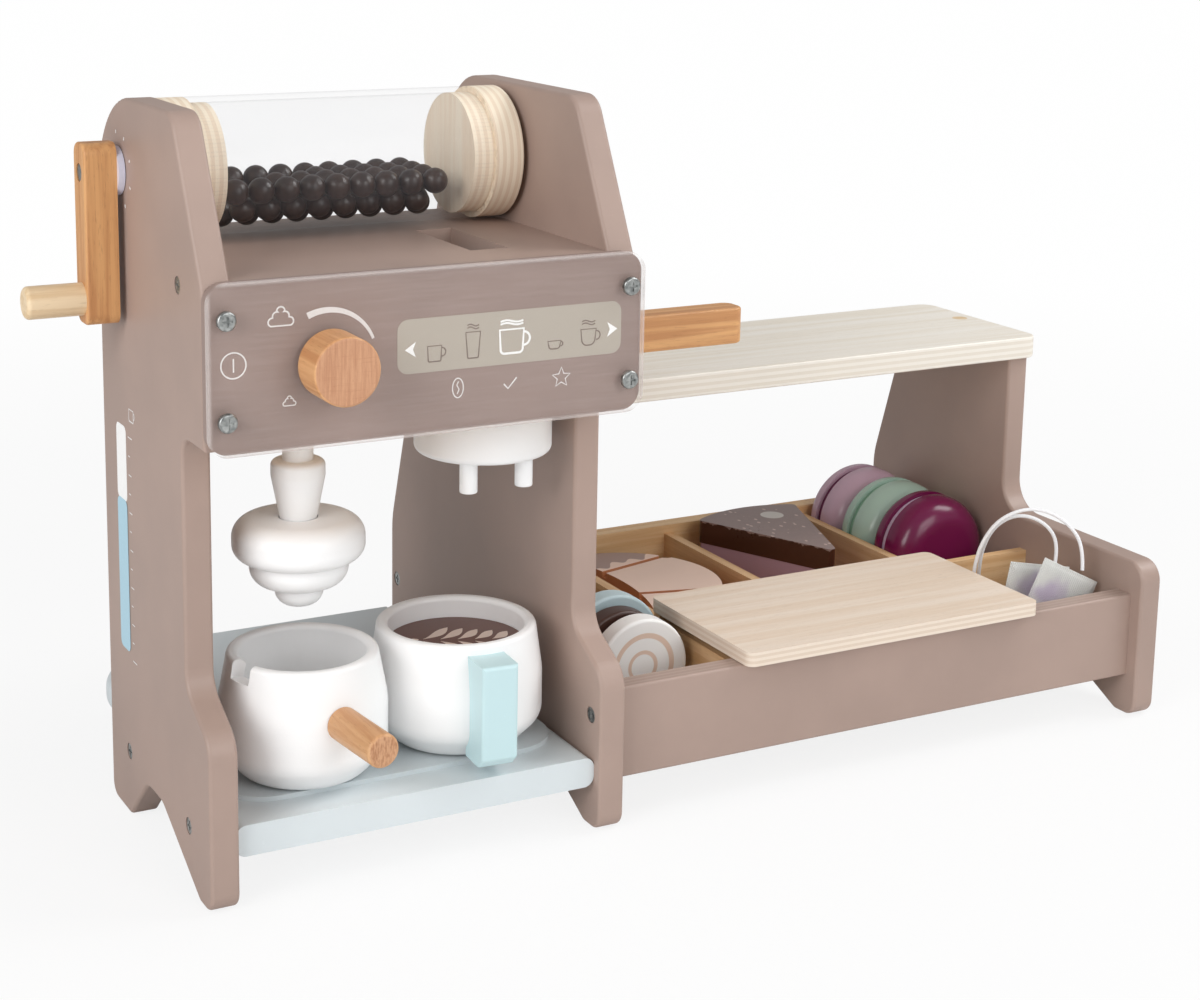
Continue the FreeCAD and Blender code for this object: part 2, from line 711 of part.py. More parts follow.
drum_tube = new_body("drum_tube")
rod(drum_tube, "drum_tube_outline", "X", s.drum_y, s.drum_z, s.drum_wide, tube_left, tube_right)
hole(drum_tube, "drum_tube_bore", "X", s.drum_y, s.drum_z, tube_bore, tube_left, tube_right)
finish(drum_tube, "drum_tube")


def drum_end(label, outer, inner, plug):
    """A wooden end disc with the thinner plug that closes the tube."""
    body = new_body(label)
    low, high = (outer, inner) if outer.value < inner.value else (inner, outer)
    rod(body, label + "_disc", "X", s.drum_y, s.drum_z, s.drum_wide, low, high)
    low, high = (inner, plug) if inner.value < plug.value else (plug, inner)
    rod(body, label + "_plug", "X", s.drum_y, s.drum_z, tube_bore, low, high)
    ease_rings(body, label + "_rim", "X", [(s.drum_wide, outer)], 1)
    return finish(body, label)


drum_end("drum_end_left", disc_left, tube_left, tube_left + s.plug_thick)
drum_end("drum_end_right", disc_right, tube_right, tube_right - s.plug_thick)

arm_face = -(s.washer_thick + s.run_clearance)
drum_axle = new_body("drum_axle")
drum_axle.AllowCompound = True
rod(drum_axle, "drum_axle_crank", "X", s.drum_y, s.drum_z, s.axle_wide, arm_face, disc_left)
pivot_end = middle_left + axle_seat - s.run_clearance
rod(drum_axle, "drum_axle_pivot", "X", s.drum_y, s.drum_z, s.axle_wide, disc_right, pivot_end)
finish(drum_axle, "drum_axle")

# Coffee beans in the lower half of the drum: rows along X, higher towards the middle panel


def bean_rows():
    """Centres of the beans: rows along the tube's bottom and two rows lying on them."""
    step = s.bead_wide.value + 0.15
    lay = tube_bore.value / 2 - s.bead_wide.value / 2 - 0.2
    start = tube_left.value + s.plug_thick.value + s.bead_wide.value / 2 + 0.3
    room = tube_right.value - s.plug_thick.value - s.bead_wide.value / 2 - 0.3 - start
    count = int(room / step) + 1
    turn = 2 * math.asin(step / 2 / lay)
    nest = math.sqrt(step * step - step * step / 4) + 0.05
    rows = [(0, lay, 0, 0), (-1, lay, 0, 1), (1, lay, 0, 1), (-2, lay, 0, 0), (2, lay, 1, 0)]
    rows += [(-1, lay - nest, 2, 0), (1, lay - nest, 4, 0)]
    places = []
    for order, radius, first, shifted in rows:
        y = s.drum_y.value + radius * math.sin(order * turn)
        z = s.drum_z.value - radius * math.cos(order * turn)
        for i in range(first, count - shifted):
            places.append(Vector(start + (i + shifted / 2) * step, y, z))
    return places


beans = doc.addObject("Part::Feature", "coffee_beans")
beans.Shape = Part.makeCompound([Part.makeSphere(s.bead_wide.value / 2, p) for p in bean_rows()])
finish(beans, "coffee_beans")

# Crank: washer, arm, grip and screw

washer = new_body("crank_washer")
washer_start = arm_face
rod(washer, "washer_outline", "X", s.drum_y, s.drum_z, s.washer_wide, arm_face, -s.run_clearance)
hole(washer, "washer_bore", "X", s.drum_y, s.drum_z, s.axle_wide, arm_face, -s.run_clearance)
finish(washer, "crank_washer")

arm_out = arm_face - s.arm_thick
arm_front = s.drum_y - s.arm_wide / 2
arm_back = s.drum_y + s.arm_wide / 2
arm_frame = box_corners(arm_front, arm_back, s.drum_z - s.arm_under, s.drum_z + s.arm_over)
arm = new_body("crank_arm")
prism(arm, "crank_arm_outline", "X", arm_frame, arm_out, arm_face)
round_corners(arm, "crank_arm_ends", "X", arm_frame, s.arm_corner)
ease_faces(arm, "crank_arm_eased", "X", [arm_out], 1.2)
arm_screw_deep = Dim(1.6, "1.6")
hole(arm, "crank_arm_recess", "X", s.drum_y, s.drum_z, Dim(7.5, "7.5"), arm_out, arm_out + arm_screw_deep)
finish(arm, "crank_arm")

peg = new_body("crank_grip")
peg_z = s.drum_z - s.peg_drop
rod(peg, "crank_grip_outline", "X", s.drum_y, peg_z, s.peg_wide, arm_out - s.peg_long, arm_out)
ease_rings(peg, "crank_grip_rim", "X", [(s.peg_wide, arm_out - s.peg_long)], 2)
finish(peg, "crank_grip")

arm_screw = new_body("crank_screw")
rod(arm_screw, "crank_screw_outline", "X", s.drum_y, s.drum_z, Dim(7, "7"), arm_out + 0.4, arm_out + arm_screw_deep)
finish(arm_screw, "crank_screw")

# Steam nozzle and the milk foam that hangs on it

nozzle_profile = [
    (0, s.nozzle_tip),
    (s.nozzle_tip_wide / 2, s.nozzle_tip),
    (s.nozzle_wide / 2, s.nozzle_belly),
    (s.nozzle_wide / 2, s.nozzle_top),
    (s.stub_wide / 2, s.nozzle_top),
    (s.stub_wide / 2, floor_low),
    (0, floor_low),
]
nozzle = turned("steam_nozzle", s.nozzle_x, s.nozzle_y, nozzle_profile)
ease_rings(nozzle, "nozzle_shoulder", "Z", [(s.nozzle_wide, s.nozzle_top)], 2.4)
ease_rings(nozzle, "nozzle_belly", "Z", [(s.nozzle_wide, s.nozzle_belly)], 6)
ease_rings(nozzle, "nozzle_point", "Z", [(s.nozzle_tip_wide, s.nozzle_tip)], 3)
finish(nozzle, "steam_nozzle")

foam_one = s.foam_top - s.foam_ring_tall
foam_two = foam_one - s.foam_middle_tall
foam_low = foam_two - s.foam_drop_tall
foam_hole_floor = s.nozzle_tip - s.run_clearance
foam_profile = [
    (0, foam_low),
    (s.foam_drop_wide / 2, foam_low),
    (s.foam_drop_wide / 2, foam_two),
    (s.foam_middle_wide / 2, foam_two),
    (s.foam_middle_wide / 2, foam_one),
    (s.foam_ring_wide / 2, foam_one),
    (s.foam_ring_wide / 2, s.foam_top),
    (s.foam_hole_wide / 2, s.foam_top),
    (s.foam_hole_wide / 2, foam_hole_floor),
    (0, foam_hole_floor),
]
foam = turned("milk_foam", s.nozzle_x, s.nozzle_y, foam_profile)
ease_rings(foam, "foam_brim", "Z", [(s.foam_ring_wide, s.foam_top)], 8)
ease_rings(foam, "foam_ring", "Z", [(s.foam_ring_wide, foam_one)], 6.5)
ease_rings(foam, "foam_middle", "Z", [(s.foam_middle_wide, foam_two)], 8)
ease_rings(foam, "foam_drop", "Z", [(s.foam_drop_wide, foam_low)], 6.5)
finish(foam, "milk_foam")

# Brewing head, its spouts, spindle and lever

brew_high = s.brew_low + s.brew_tall
collar_high = floor_low - s.run_clearance
brew_profile = [
    (0, s.brew_low),
    (s.brew_wide / 2, s.brew_low),
    (s.brew_wide / 2, brew_high),
    (s.brew_collar_wide / 2, brew_high),
    (s.brew_collar_wide / 2, collar_high),
    (0, collar_high),
]
brew = turned("brewing_head", s.brew_x, s.brew_y, brew_profile)
ease_rings(brew, "brewing_head_rim", "Z", [(s.brew_wide, s.brew_low)], 3)
ease_rings(brew, "brewing_head_brim", "Z", [(s.brew_wide, brew_high)], 2)
finish(brew, "brewing_head")

spouts = new_body("brewing_spouts")
spouts.AllowCompound = True
spout_low = s.brew_low - s.spout_long
spout_y = s.brew_y - s.spout_forward
spout_sketch = attach(spouts, "XY_Plane", "brewing_spouts_outline", spout_low)
for sign in (-0.5, 0.5):
    circle(spout_sketch, s.brew_x + s.spout_apart * sign, spout_y, s.spout_wide)
pad(spouts, spout_sketch, s.spout_long)
ease_rings(spouts, "brewing_spouts_rim", "Z", [(s.spout_wide, spout_low)], 0.6)
finish(spouts, "brewing_spouts")

brew_pin = new_body("brewing_spindle")
rod(brew_pin, "brewing_spindle_outline", "Z", s.brew_x, s.brew_y, s.brew_pin_wide, collar_high, lever_low)
finish(brew_pin, "brewing_spindle")

lever = block(
    "brewing_lever", s.brew_x - s.brew_pin_wide, s.lever_reach,
    s.brew_y - s.lever_wide / 2, s.brew_y + s.lever_wide / 2, lever_low, lever_high,
)
lever_ends = [(s.lever_reach, s.brew_y - s.lever_wide / 2), (s.lever_reach, s.brew_y + s.lever_wide / 2)]
round_corners(lever, "lever_free_end", "Z", lever_ends, s.lever_corner)
ease_faces(lever, "lever_eased", "Z", [lever_low, lever_high], 1.2)
finish(lever, "brewing_lever")

# Milk jug: turned body, pouring notch and dowel handle


def vessel(label, x, y, foot_z, tall, foot_wide, wide, rim_wide):
    """A turned cup: rounded foot, belly and inward rim, hollow to a thick floor."""
    top = foot_z + tall
    inner = rim_wide / 2 - s.vessel_wall
    belly = wide / 2 - s.vessel_wall - 1
    profile = [
        (0, foot_z),
        (foot_wide / 2, foot_z),
        (wide / 2, foot_z + tall * 0.22),
        (wide / 2, foot_z + tall * 0.6),
        (rim_wide / 2, top),
        (inner, top),
        (belly, foot_z + tall * 0.6),
        (belly, foot_z + s.vessel_floor),
        (0, foot_z + s.vessel_floor),
    ]
    body = turned(label, x, y, profile)
    ease_rings(body, label + "_foot", "Z", [(foot_wide, foot_z), (wide, foot_z + tall * 0.22)], 9)
    ease_rings(body, label + "_belly", "Z", [(wide, foot_z + tall * 0.6)], 30)
    ease_rings(body, label + "_lip", "Z", [(rim_wide, top), (inner * 2, top)], 2)
    ease_rings(body, label + "_inside", "Z", [(belly * 2, foot_z + s.vessel_floor)], 6)
    return body


jug_foot = pad_top + s.run_clearance
jug = vessel("milk_jug", s.jug_x, s.jug_y, jug_foot, s.jug_tall, s.jug_foot_wide, s.jug_wide, s.jug_rim_wide)
jug_top = jug_foot + s.jug_tall
notch_turn = math.radians(s.spout_notch_turn.value)
notch = attach(jug, "XY_Plane", "jug_notch", jug_top - s.spout_notch_wide * 0.6)
notch_reach = s.jug_rim_wide * 0.5
notch_x = s.jug_x + notch_reach * math.cos(notch_turn)
notch_y = s.jug_y + notch_reach * math.sin(notch_turn)
circle(notch, notch_x, notch_y, s.spout_notch_wide)
pocket(jug, notch, s.spout_notch_wide, True)
finish(jug, "milk_jug")

grip_turn = math.radians(s.jug_grip_turn.value)
grip_root = s.jug_wide.value / 2 - 0.6
grip_way = Vector(math.cos(grip_turn), math.sin(grip_turn), 0)
grip_start = Vector(s.jug_x.value, s.jug_y.value, jug_foot.value + s.jug_grip_up.value) + grip_way * grip_root
grip = doc.addObject("Part::Feature", "jug_handle")
stick = Part.makeCylinder(s.jug_grip_wide.value / 2, s.jug_grip_long.value, grip_start, grip_way)
far_rim = [e for e in stick.Edges if (e.CenterOfMass - grip_start).Length > s.jug_grip_long.value - 0.1]
stick = stick.makeFillet(1.5, [e for e in far_rim if isinstance(e.Curve, Part.Circle)])
grip.Shape = stick.cut(jug.Shape)
finish(grip, "jug_handle")

# Cup with its block handle and the coffee inside

cup = vessel("cup", s.cup_x, s.cup_y, jug_foot, s.cup_tall, s.cup_foot_wide, s.cup_wide, s.cup_rim_wide)
finish(cup, "cup")

ear_turn = s.cup_ear_turn.value
ear_low = jug_foot.value + 3.5
ear_root = s.cup_rim_wide.value / 2 - 5
ear_out = s.cup_wide.value / 2 + s.cup_ear_out.value
ear_side = s.cup_ear_wide.value / 2
ear_drop = 4
ear_profile = [
    Vector(ear_root, -ear_side, ear_low),
    Vector(ear_out - ear_drop, -ear_side, ear_low),
    Vector(ear_out, -ear_side, ear_low + ear_drop),
    Vector(ear_out, -ear_side, ear_low + s.cup_ear_tall.value),
    Vector(ear_root, -ear_side, ear_low + s.cup_ear_tall.value),
]
ear_face = Part.Face(Part.makePolygon(ear_profile + [ear_profile[0]]))
ear_solid = ear_face.extrude(Vector(0, s.cup_ear_wide.value, 0))
ear_edges = [e for e in ear_solid.Edges if abs(e.CenterOfMass.x - ear_root) > 1 and e.BoundBox.XMin > ear_root + 1]
ear_solid = ear_solid.makeFillet(1.5, ear_edges)
ear_solid.Placement = FreeCAD.Placement(
    Vector(s.cup_x.value, s.cup_y.value, 0), Rotation(Vector(0, 0, 1), ear_turn)
)
cup_core = Part.makeCylinder(s.cup_wide.value / 2 - 4, 80, Vector(s.cup_x.value, s.cup_y.value, 30))
ear = doc.addObject("Part::Feature", "cup_handle")
ear.Shape = ear_solid.cut(cup.Shape).cut(cup_core)
finish(ear, "cup_handle")

coffee_high = jug_foot + s.cup_tall - s.coffee_drop
coffee_wide = s.cup_rim_wide - s.vessel_wall * 2 + 1
coffee = new_body("coffee")
rod(coffee, "coffee_outline", "Z", s.cup_x, s.cup_y, coffee_wide, coffee_high - s.coffee_thick, coffee_high)
finish(coffee, "coffee")

# Storage box between the middle and end panels

box_front_in = s.box_front_y + s.box_front_thick
box_front = block(
    "box_front", s.machine_width, end_left, s.box_front_y, box_front_in, s.box_low, s.box_high
)
front_edges = [(s.box_front_y, s.box_high), (box_front_in, s.box_high), (s.box_front_y, s.box_low)]
round_corners(box_front, "box_front_edges", "X", front_edges, 1.2)
finish(box_front, "box_front")
box_back = block(
    "box_back", s.machine_width, end_left, s.box_back_y, s.box_back_y + s.box_back_thick,
    s.box_low, s.box_high,
)
finish(box_back, "box_back")
box_floor_high = s.box_floor_low + s.box_floor_thick
box_floor = block(
    "box_floor", s.machine_width, end_left, box_front_in, s.box_back_y, s.box_floor_low, box_floor_high
)
finish(box_floor, "box_floor")

rail_back = s.rail_y + s.divider_thick
divider_places = [("one", s.divider_one_x), ("two", s.divider_two_x), ("three", s.divider_three_x)]
half_joint = (box_floor_high + s.divider_high) / 2
for word, x in divider_places:
    divider = block(
        "divider_" + word, x - s.divider_thick / 2, x + s.divider_thick / 2,
        box_front_in, s.box_back_y, box_floor_high, s.divider_high,
    )
    window(
        divider, "divider_%s_joint" % word, "X",
        box_corners(s.rail_y, rail_back, half_joint, s.divider_high),
        x - s.divider_thick / 2, x + s.divider_thick / 2,
    )
    finish(divider, "divider_" + word)

rail_left = s.divider_one_x - s.divider_thick / 2
rail = block("cross_rail", rail_left, end_left, s.rail_y, rail_back, box_floor_high, s.box_high)
for word, x in divider_places:
    half = s.divider_thick / 2
    window(
        rail, "cross_rail_joint_" + word, "Y",
        box_corners(x - half, x + half, box_floor_high, half_joint),
        s.rail_y, rail_back,
    )
finish(rail, "cross_rail")

# Shelf on the middle and end panels, and the loose board on the box

shelf_high = s.shelf_low + s.shelf_thick
shelf = block("shelf", s.machine_width, shelf_tip, s.shelf_front, s.shelf_back, s.shelf_low, shelf_high)
shelf_free = [(shelf_tip, s.shelf_front), (shelf_tip, s.shelf_back)]
round_corners(shelf, "shelf_corners", "Z", shelf_free, s.shelf_corner)
ease_faces(shelf, "shelf_eased", "Z", [s.shelf_low, shelf_high], 0.8)
plug_x = s.set_length - s.panel_thick / 2
plug_low = shelf_high - s.shelf_plug_deep
hole(shelf, "shelf_plug_bore", "Z", plug_x, s.shelf_back - 40, s.shelf_plug_wide, plug_low, shelf_high + 1)
finish(shelf, "shelf")
plug = new_body("shelf_plug")
rod(plug, "shelf_plug_outline", "Z", plug_x, s.shelf_back - 40, s.shelf_plug_wide, plug_low, shelf_high)
finish(plug, "shelf_plug")

lid_low = s.box_high
lid = block(
    "loose_board", s.lid_left, s.lid_left + s.lid_long, s.lid_front, s.lid_front + s.lid_deep,
    lid_low + s.run_clearance, lid_low + s.run_clearance + s.lid_thick,
)
lid_frame = box_corners(s.lid_left, s.lid_left + s.lid_long, s.lid_front, s.lid_front + s.lid_deep)
round_corners(lid, "loose_board_corners", "Z", lid_frame, s.lid_corner)
finish(lid, "loose_board")

# Croissant: a crescent with two grooves between its rolls

food_low = box_floor_high.value + s.run_clearance.value


def crescent():
    """Outline from two arcs, the outer one bulging to the right."""
    half = s.croissant_long.value / 2
    wide = s.croissant_wide.value
    bulge = (half * half + wide * wide) / (2 * wide)
    centre = Vector(s.divider_one_x.value + 5, 146, food_low)
    top = centre + Vector(0, half, 0)
    low = centre - Vector(0, half, 0)
    outer = Part.Arc(low, centre + Vector(wide, 0, 0), top).toShape()
    inner = Part.Arc(top, centre + Vector(wide * 0.16, 0, 0), low).toShape()
    body = Part.Face(Part.Wire([outer, inner])).extrude(Vector(0, 0, s.croissant_tall.value))
    tips = [e for e in body.Edges if isinstance(e.Curve, Part.Line)]
    body = body.makeFillet(5, tips)
    for turn, y in ((14, 16), (-14, -16)):
        groove = Part.makeBox(wide * 1.6, s.croissant_cut.value, s.croissant_cut.value * 2)
        groove.translate(Vector(-wide * 0.2, -s.croissant_cut.value / 2, -s.croissant_cut.value))
        place = centre + Vector(0, y, s.croissant_tall.value)
        groove.Placement = FreeCAD.Placement(place, Rotation(Vector(0, 0, 1), turn)).multiply(groove.Placement)
        body = body.cut(groove)
        notch_y = y + math.copysign(12.2, y)
        notch_x = wide - bulge + math.sqrt(bulge * bulge - notch_y * notch_y) + 1.6
        notch = Part.makeCylinder(4, s.croissant_tall.value, centre + Vector(notch_x, notch_y, 0))
        body = body.cut(notch)
    return body


croissant = doc.addObject("Part::Feature", "croissant")
croissant.Shape = crescent()
finish(croissant, "croissant")

# Cake slice of two layers, its tip to the front


def cake_layer(low, tall, shrink):
    """A wedge with a rounded rind, set in a little on all sides."""
    tip = Vector(s.cake_x.value, s.cake_y.value + shrink, low)
    long = s.cake_long.value - 2 * shrink
    angle = math.radians(s.cake_half_angle.value)
    lean = math.radians(90 + 3)
    sides = [tip + Vector(math.cos(lean + t) * long, math.sin(lean + t) * long, 0) for t in (angle, 0, -angle)]
    rind = Part.Arc(sides[0], sides[1] + Vector(0, 2, 0), sides[2]).toShape()
    edges = [Part.makeLine(tip, sides[0]), rind, Part.makeLine(sides[2], tip)]
    body = Part.Face(Part.Wire(edges)).extrude(Vector(0, 0, tall))
    upright = [e for e in body.Edges if isinstance(e.Curve, Part.Line) and e.BoundBox.ZLength > tall * 0.9]
    return body.makeFillet(2.5, upright)


cake_low = doc.addObject("Part::Feature", "cake_cream")
cake_low.Shape = cake_layer(food_low, s.cake_low_tall.value, 0.6)
finish(cake_low, "cake_cream")
cake_high = doc.addObject("Part::Feature", "cake_chocolate")
cake_high.Shape = cake_layer(food_low + s.cake_low_tall.value, s.cake_high_tall.value, 0)
finish(cake_high, "cake_chocolate")

# Three macarons standing on edge in a row, each with two shells and a filling

macaron_x = (s.divider_three_x + s.divider_thick / 2 + end_left) / 2
macaron_z = Dim(food_low, "0") * 0 + box_floor_high + s.run_clearance + s.macaron_wide / 2
macaron_pitch = s.macaron_front + s.macaron_cream + s.macaron_back + s.macaron_gap


def macaron(word, order):
    """Two domed shells about a narrower filling."""
    front = s.macaron_first_y + macaron_pitch * order
    cream_front = front + s.macaron_front
    cream_back = cream_front + s.macaron_cream
    back = cream_back + s.macaron_back
    label = "macaron_%s_shells" % word
    shells = new_body(label)
    shells.AllowCompound = True
    rod(shells, label + "_front", "Y", macaron_x, macaron_z, s.macaron_wide, front, cream_front)
    rod(shells, label + "_back", "Y", macaron_x, macaron_z, s.macaron_wide, cream_back, back)
    ease_rings(shells, label + "_dome", "Y", [(s.macaron_wide, front)], s.macaron_front * 0.82)
    ease_rings(shells, label + "_heel", "Y", [(s.macaron_wide, back)], s.macaron_back * 0.75)
    finish(shells, label)
    label = "macaron_%s_cream" % word
    cream = new_body(label)
    rod(cream, label + "_outline", "Y", macaron_x, macaron_z, s.macaron_wide - 4, cream_front, cream_back)
    finish(cream, label)


for order, word in enumerate(("plum", "mint", "mauve")):
    macaron(word, order)

# Biscuits standing in the first compartment


def biscuit(label, wide, x, y):
    body = new_body(label)
    z = box_floor_high + s.run_clearance + wide / 2
    rod(body, label + "_outline", "Y", x, z, wide, y, y + s.biscuit_thick)
    ease_rings(body, label + "_rim", "Y", [(wide, y), (wide, y + s.biscuit_thick)], 1.5)
    return finish(body, label)


biscuit("biscuit_light", s.biscuit_wide, s.biscuit_x, s.biscuit_y)
biscuit("biscuit_dark", s.biscuit_wide, s.biscuit_x - 3, s.biscuit_y + s.biscuit_step)
biscuit("biscuit_blue", s.blue_biscuit_wide, s.biscuit_x, s.biscuit_y + s.biscuit_step * 2)

# Tea bags: flat cushions with thin edges, each tipped over to the right


def tea_bag(label, centre, tip):
    """A cushion lofted from a thin lower edge through its crown to a thin upper edge."""
    wide = s.tea_bag_wide.value
    tall = s.tea_bag_tall.value
    thick = s.tea_bag_thick.value
    place = FreeCAD.Placement(centre, Rotation(Vector(0, 1, 0), tip))
    sections = []
    for share, fat in ((-0.5, 0.14), (-0.25, 0.8), (0, 1), (0.25, 0.8), (0.5, 0.14)):
        left = place.multVec(Vector(-wide / 2, 0, tall * share))
        right = place.multVec(Vector(wide / 2, 0, tall * share))
        near = place.multVec(Vector(0, -thick * fat / 2, tall * share))
        far = place.multVec(Vector(0, thick * fat / 2, tall * share))
        arcs = [Part.Arc(left, near, right).toShape(), Part.Arc(right, far, left).toShape()]
        sections.append(Part.Wire(arcs))
    thing = doc.addObject("Part::Feature", label)
    thing.Shape = Part.makeLoft(sections, True, False)
    return finish(thing, label)


bag_right = end_left.value - 3.5
front_bag_place = Vector(bag_right - s.tea_bag_wide.value * 0.65, 27, food_low + 26.5)
back_bag_place = Vector(bag_right - s.tea_bag_wide.value * 0.73, 40, food_low + 24.9)
tea_bag("tea_bag_front", front_bag_place, 27)
tea_bag("tea_bag_back", back_bag_place, 12)


def string(label, points, wide):
    """A cotton string along straight runs joined by arcs that touch both runs."""
    edges = []
    last = points[0]
    for before, corner, after in zip(points, points[1:], points[2:]):
        way_in = (corner - before).normalize()
        way_out = (after - corner).normalize()
        turn = way_in.getAngle(way_out)
        short = min((corner - before).Length, (after - corner).Length)
        reach = 0.45 * short
        radius = reach / math.tan(turn / 2)
        print(label, "bend radius", round(radius, 1), "mm")
        start = corner - way_in * reach
        end = corner + way_out * reach
        sag = (way_out - way_in).normalize()
        centre = corner + sag * (radius / math.cos(turn / 2))
        middle = centre - sag * radius
        edges.append(Part.makeLine(last, start))
        edges.append(Part.Arc(start, middle, end).toShape())
        last = end
    edges.append(Part.makeLine(last, points[-1]))
    path = Part.Wire(edges)
    way = (points[1] - points[0]).normalize()
    ring = Part.Wire([Part.makeCircle(wide / 2, points[0], way)])
    tube = path.makePipeShell([ring], True, False)
    thing = doc.addObject("Part::Feature", label)
    thing.Shape = tube
    return finish(thing, label)


# Routes of the two strings, chosen by hand: from the bag up over the loop and down into the box
front_string = [
    (455.5, 27, 68.5), (457, 29, 79), (453, 33, 89), (444, 39, 96.5), (433, 45, 98),
    (422, 51, 92), (416.5, 56, 80), (415, 59, 66), (416, 61, 50), (418, 63, 38), (419, 64, 26.25),
]
back_string = [
    (449.6, 40, 69.4), (451.5, 41, 77.5), (448, 43, 86.5), (439.5, 47, 92.5), (430, 51, 93),
    (422, 55, 86.5), (419.5, 59, 75), (420.5, 62, 62), (423.5, 65, 48), (425, 66.5, 37), (426, 67, 26.25),
]
string("tea_string_front", [Vector(*p) for p in front_string], s.string_wide.value)
string("tea_string_back", [Vector(*p) for p in back_string], s.string_wide.value)

# Write every sub-part, once it is sound

doc.recompute()
for thing in doc.Objects:
    if "Invalid" in thing.State or "Error" in thing.State:
        raise RuntimeError("%s is %s" % (thing.Label, thing.State))
for thing in finished:
    shape = thing.Shape
    if shape.isNull() or not shape.isValid():
        raise RuntimeError("%s has no sound shape" % thing.Label)
    shape.exportStep("parts/%s.step" % thing.Label)
print("wrote", len(finished), "parts")
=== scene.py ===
import math

import bmesh
import bpy
from mathutils import Matrix, Vector


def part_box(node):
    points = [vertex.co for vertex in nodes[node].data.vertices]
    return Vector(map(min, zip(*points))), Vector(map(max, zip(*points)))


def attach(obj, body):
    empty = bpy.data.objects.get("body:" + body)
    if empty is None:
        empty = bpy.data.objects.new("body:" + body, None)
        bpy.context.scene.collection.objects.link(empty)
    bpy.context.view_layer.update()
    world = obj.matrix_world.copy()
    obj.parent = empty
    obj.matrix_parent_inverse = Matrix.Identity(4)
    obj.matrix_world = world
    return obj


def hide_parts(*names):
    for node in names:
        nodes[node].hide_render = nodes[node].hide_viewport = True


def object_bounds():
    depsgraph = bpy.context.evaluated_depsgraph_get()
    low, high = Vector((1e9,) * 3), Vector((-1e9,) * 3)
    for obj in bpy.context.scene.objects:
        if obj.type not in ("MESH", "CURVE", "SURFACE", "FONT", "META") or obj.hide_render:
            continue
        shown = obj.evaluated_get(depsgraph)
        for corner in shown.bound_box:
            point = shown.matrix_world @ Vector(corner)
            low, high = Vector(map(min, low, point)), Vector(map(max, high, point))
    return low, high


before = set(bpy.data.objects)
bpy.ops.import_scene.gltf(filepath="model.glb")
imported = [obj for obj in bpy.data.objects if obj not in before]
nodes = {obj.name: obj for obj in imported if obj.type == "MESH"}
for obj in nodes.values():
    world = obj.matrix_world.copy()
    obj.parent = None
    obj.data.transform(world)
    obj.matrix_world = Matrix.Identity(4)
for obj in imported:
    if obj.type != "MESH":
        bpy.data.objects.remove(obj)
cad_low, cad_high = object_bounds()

# Side panels: three boards of painted plywood that carry the whole set.
# The edges are eased and sprayed with the same matt taupe as the faces.
# Lengths below are in millimetres from the left panel's outer face and the feet's front faces.

MM = 0.001
LEFT_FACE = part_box("panel_left")[0].x
FRONT_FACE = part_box("panel_left")[0].y


def at(x, y, z):
    """A place on the toy, in metres, from its millimetres."""
    return Vector((LEFT_FACE + x * MM, FRONT_FACE + y * MM, z * MM))


def tone(red, green, blue):
    """A colour as seen on a screen, turned into the light that it gives back."""
    light = []
    for part in (red, green, blue):
        share = part / 255
        light.append(share / 12.92 if share <= 0.04045 else ((share + 0.055) / 1.055) ** 2.4)
    return (light[0], light[1], light[2], 1)


class Field:
    """A number that varies over a finish and can be used in sums."""

    def __init__(self, finish, socket):
        self.finish = finish
        self.socket = socket

    def __add__(self, other):
        return self.finish.sum("ADD", self, other)

    def __radd__(self, other):
        return self.finish.sum("ADD", other, self)

    def __sub__(self, other):
        return self.finish.sum("SUBTRACT", self, other)

    def __rsub__(self, other):
        return self.finish.sum("SUBTRACT", other, self)

    def __mul__(self, other):
        return self.finish.sum("MULTIPLY", self, other)

    def __rmul__(self, other):
        return self.finish.sum("MULTIPLY", other, self)

    def __neg__(self):
        return self.finish.sum("MULTIPLY", self, -1)

    def size(self):
        return self.finish.sum("ABSOLUTE", self)

    def root(self):
        return self.finish.sum("SQRT", self)

    def wave(self):
        return self.finish.sum("SINE", self)

    def part(self):
        return self.finish.sum("FRACT", self)

    def most(self, other):
        return self.finish.sum("MAXIMUM", self, other)

    def above(self, limit):
        return self.finish.sum("GREATER_THAN", self, limit)

    def smooth(self, low, high):
        """0 below low, 1 above high, with a soft step between them."""
        values = {"Value": self, "From Min": low, "From Max": high}
        return self.finish.node("ShaderNodeMapRange", 0, values, interpolation_type="SMOOTHSTEP")


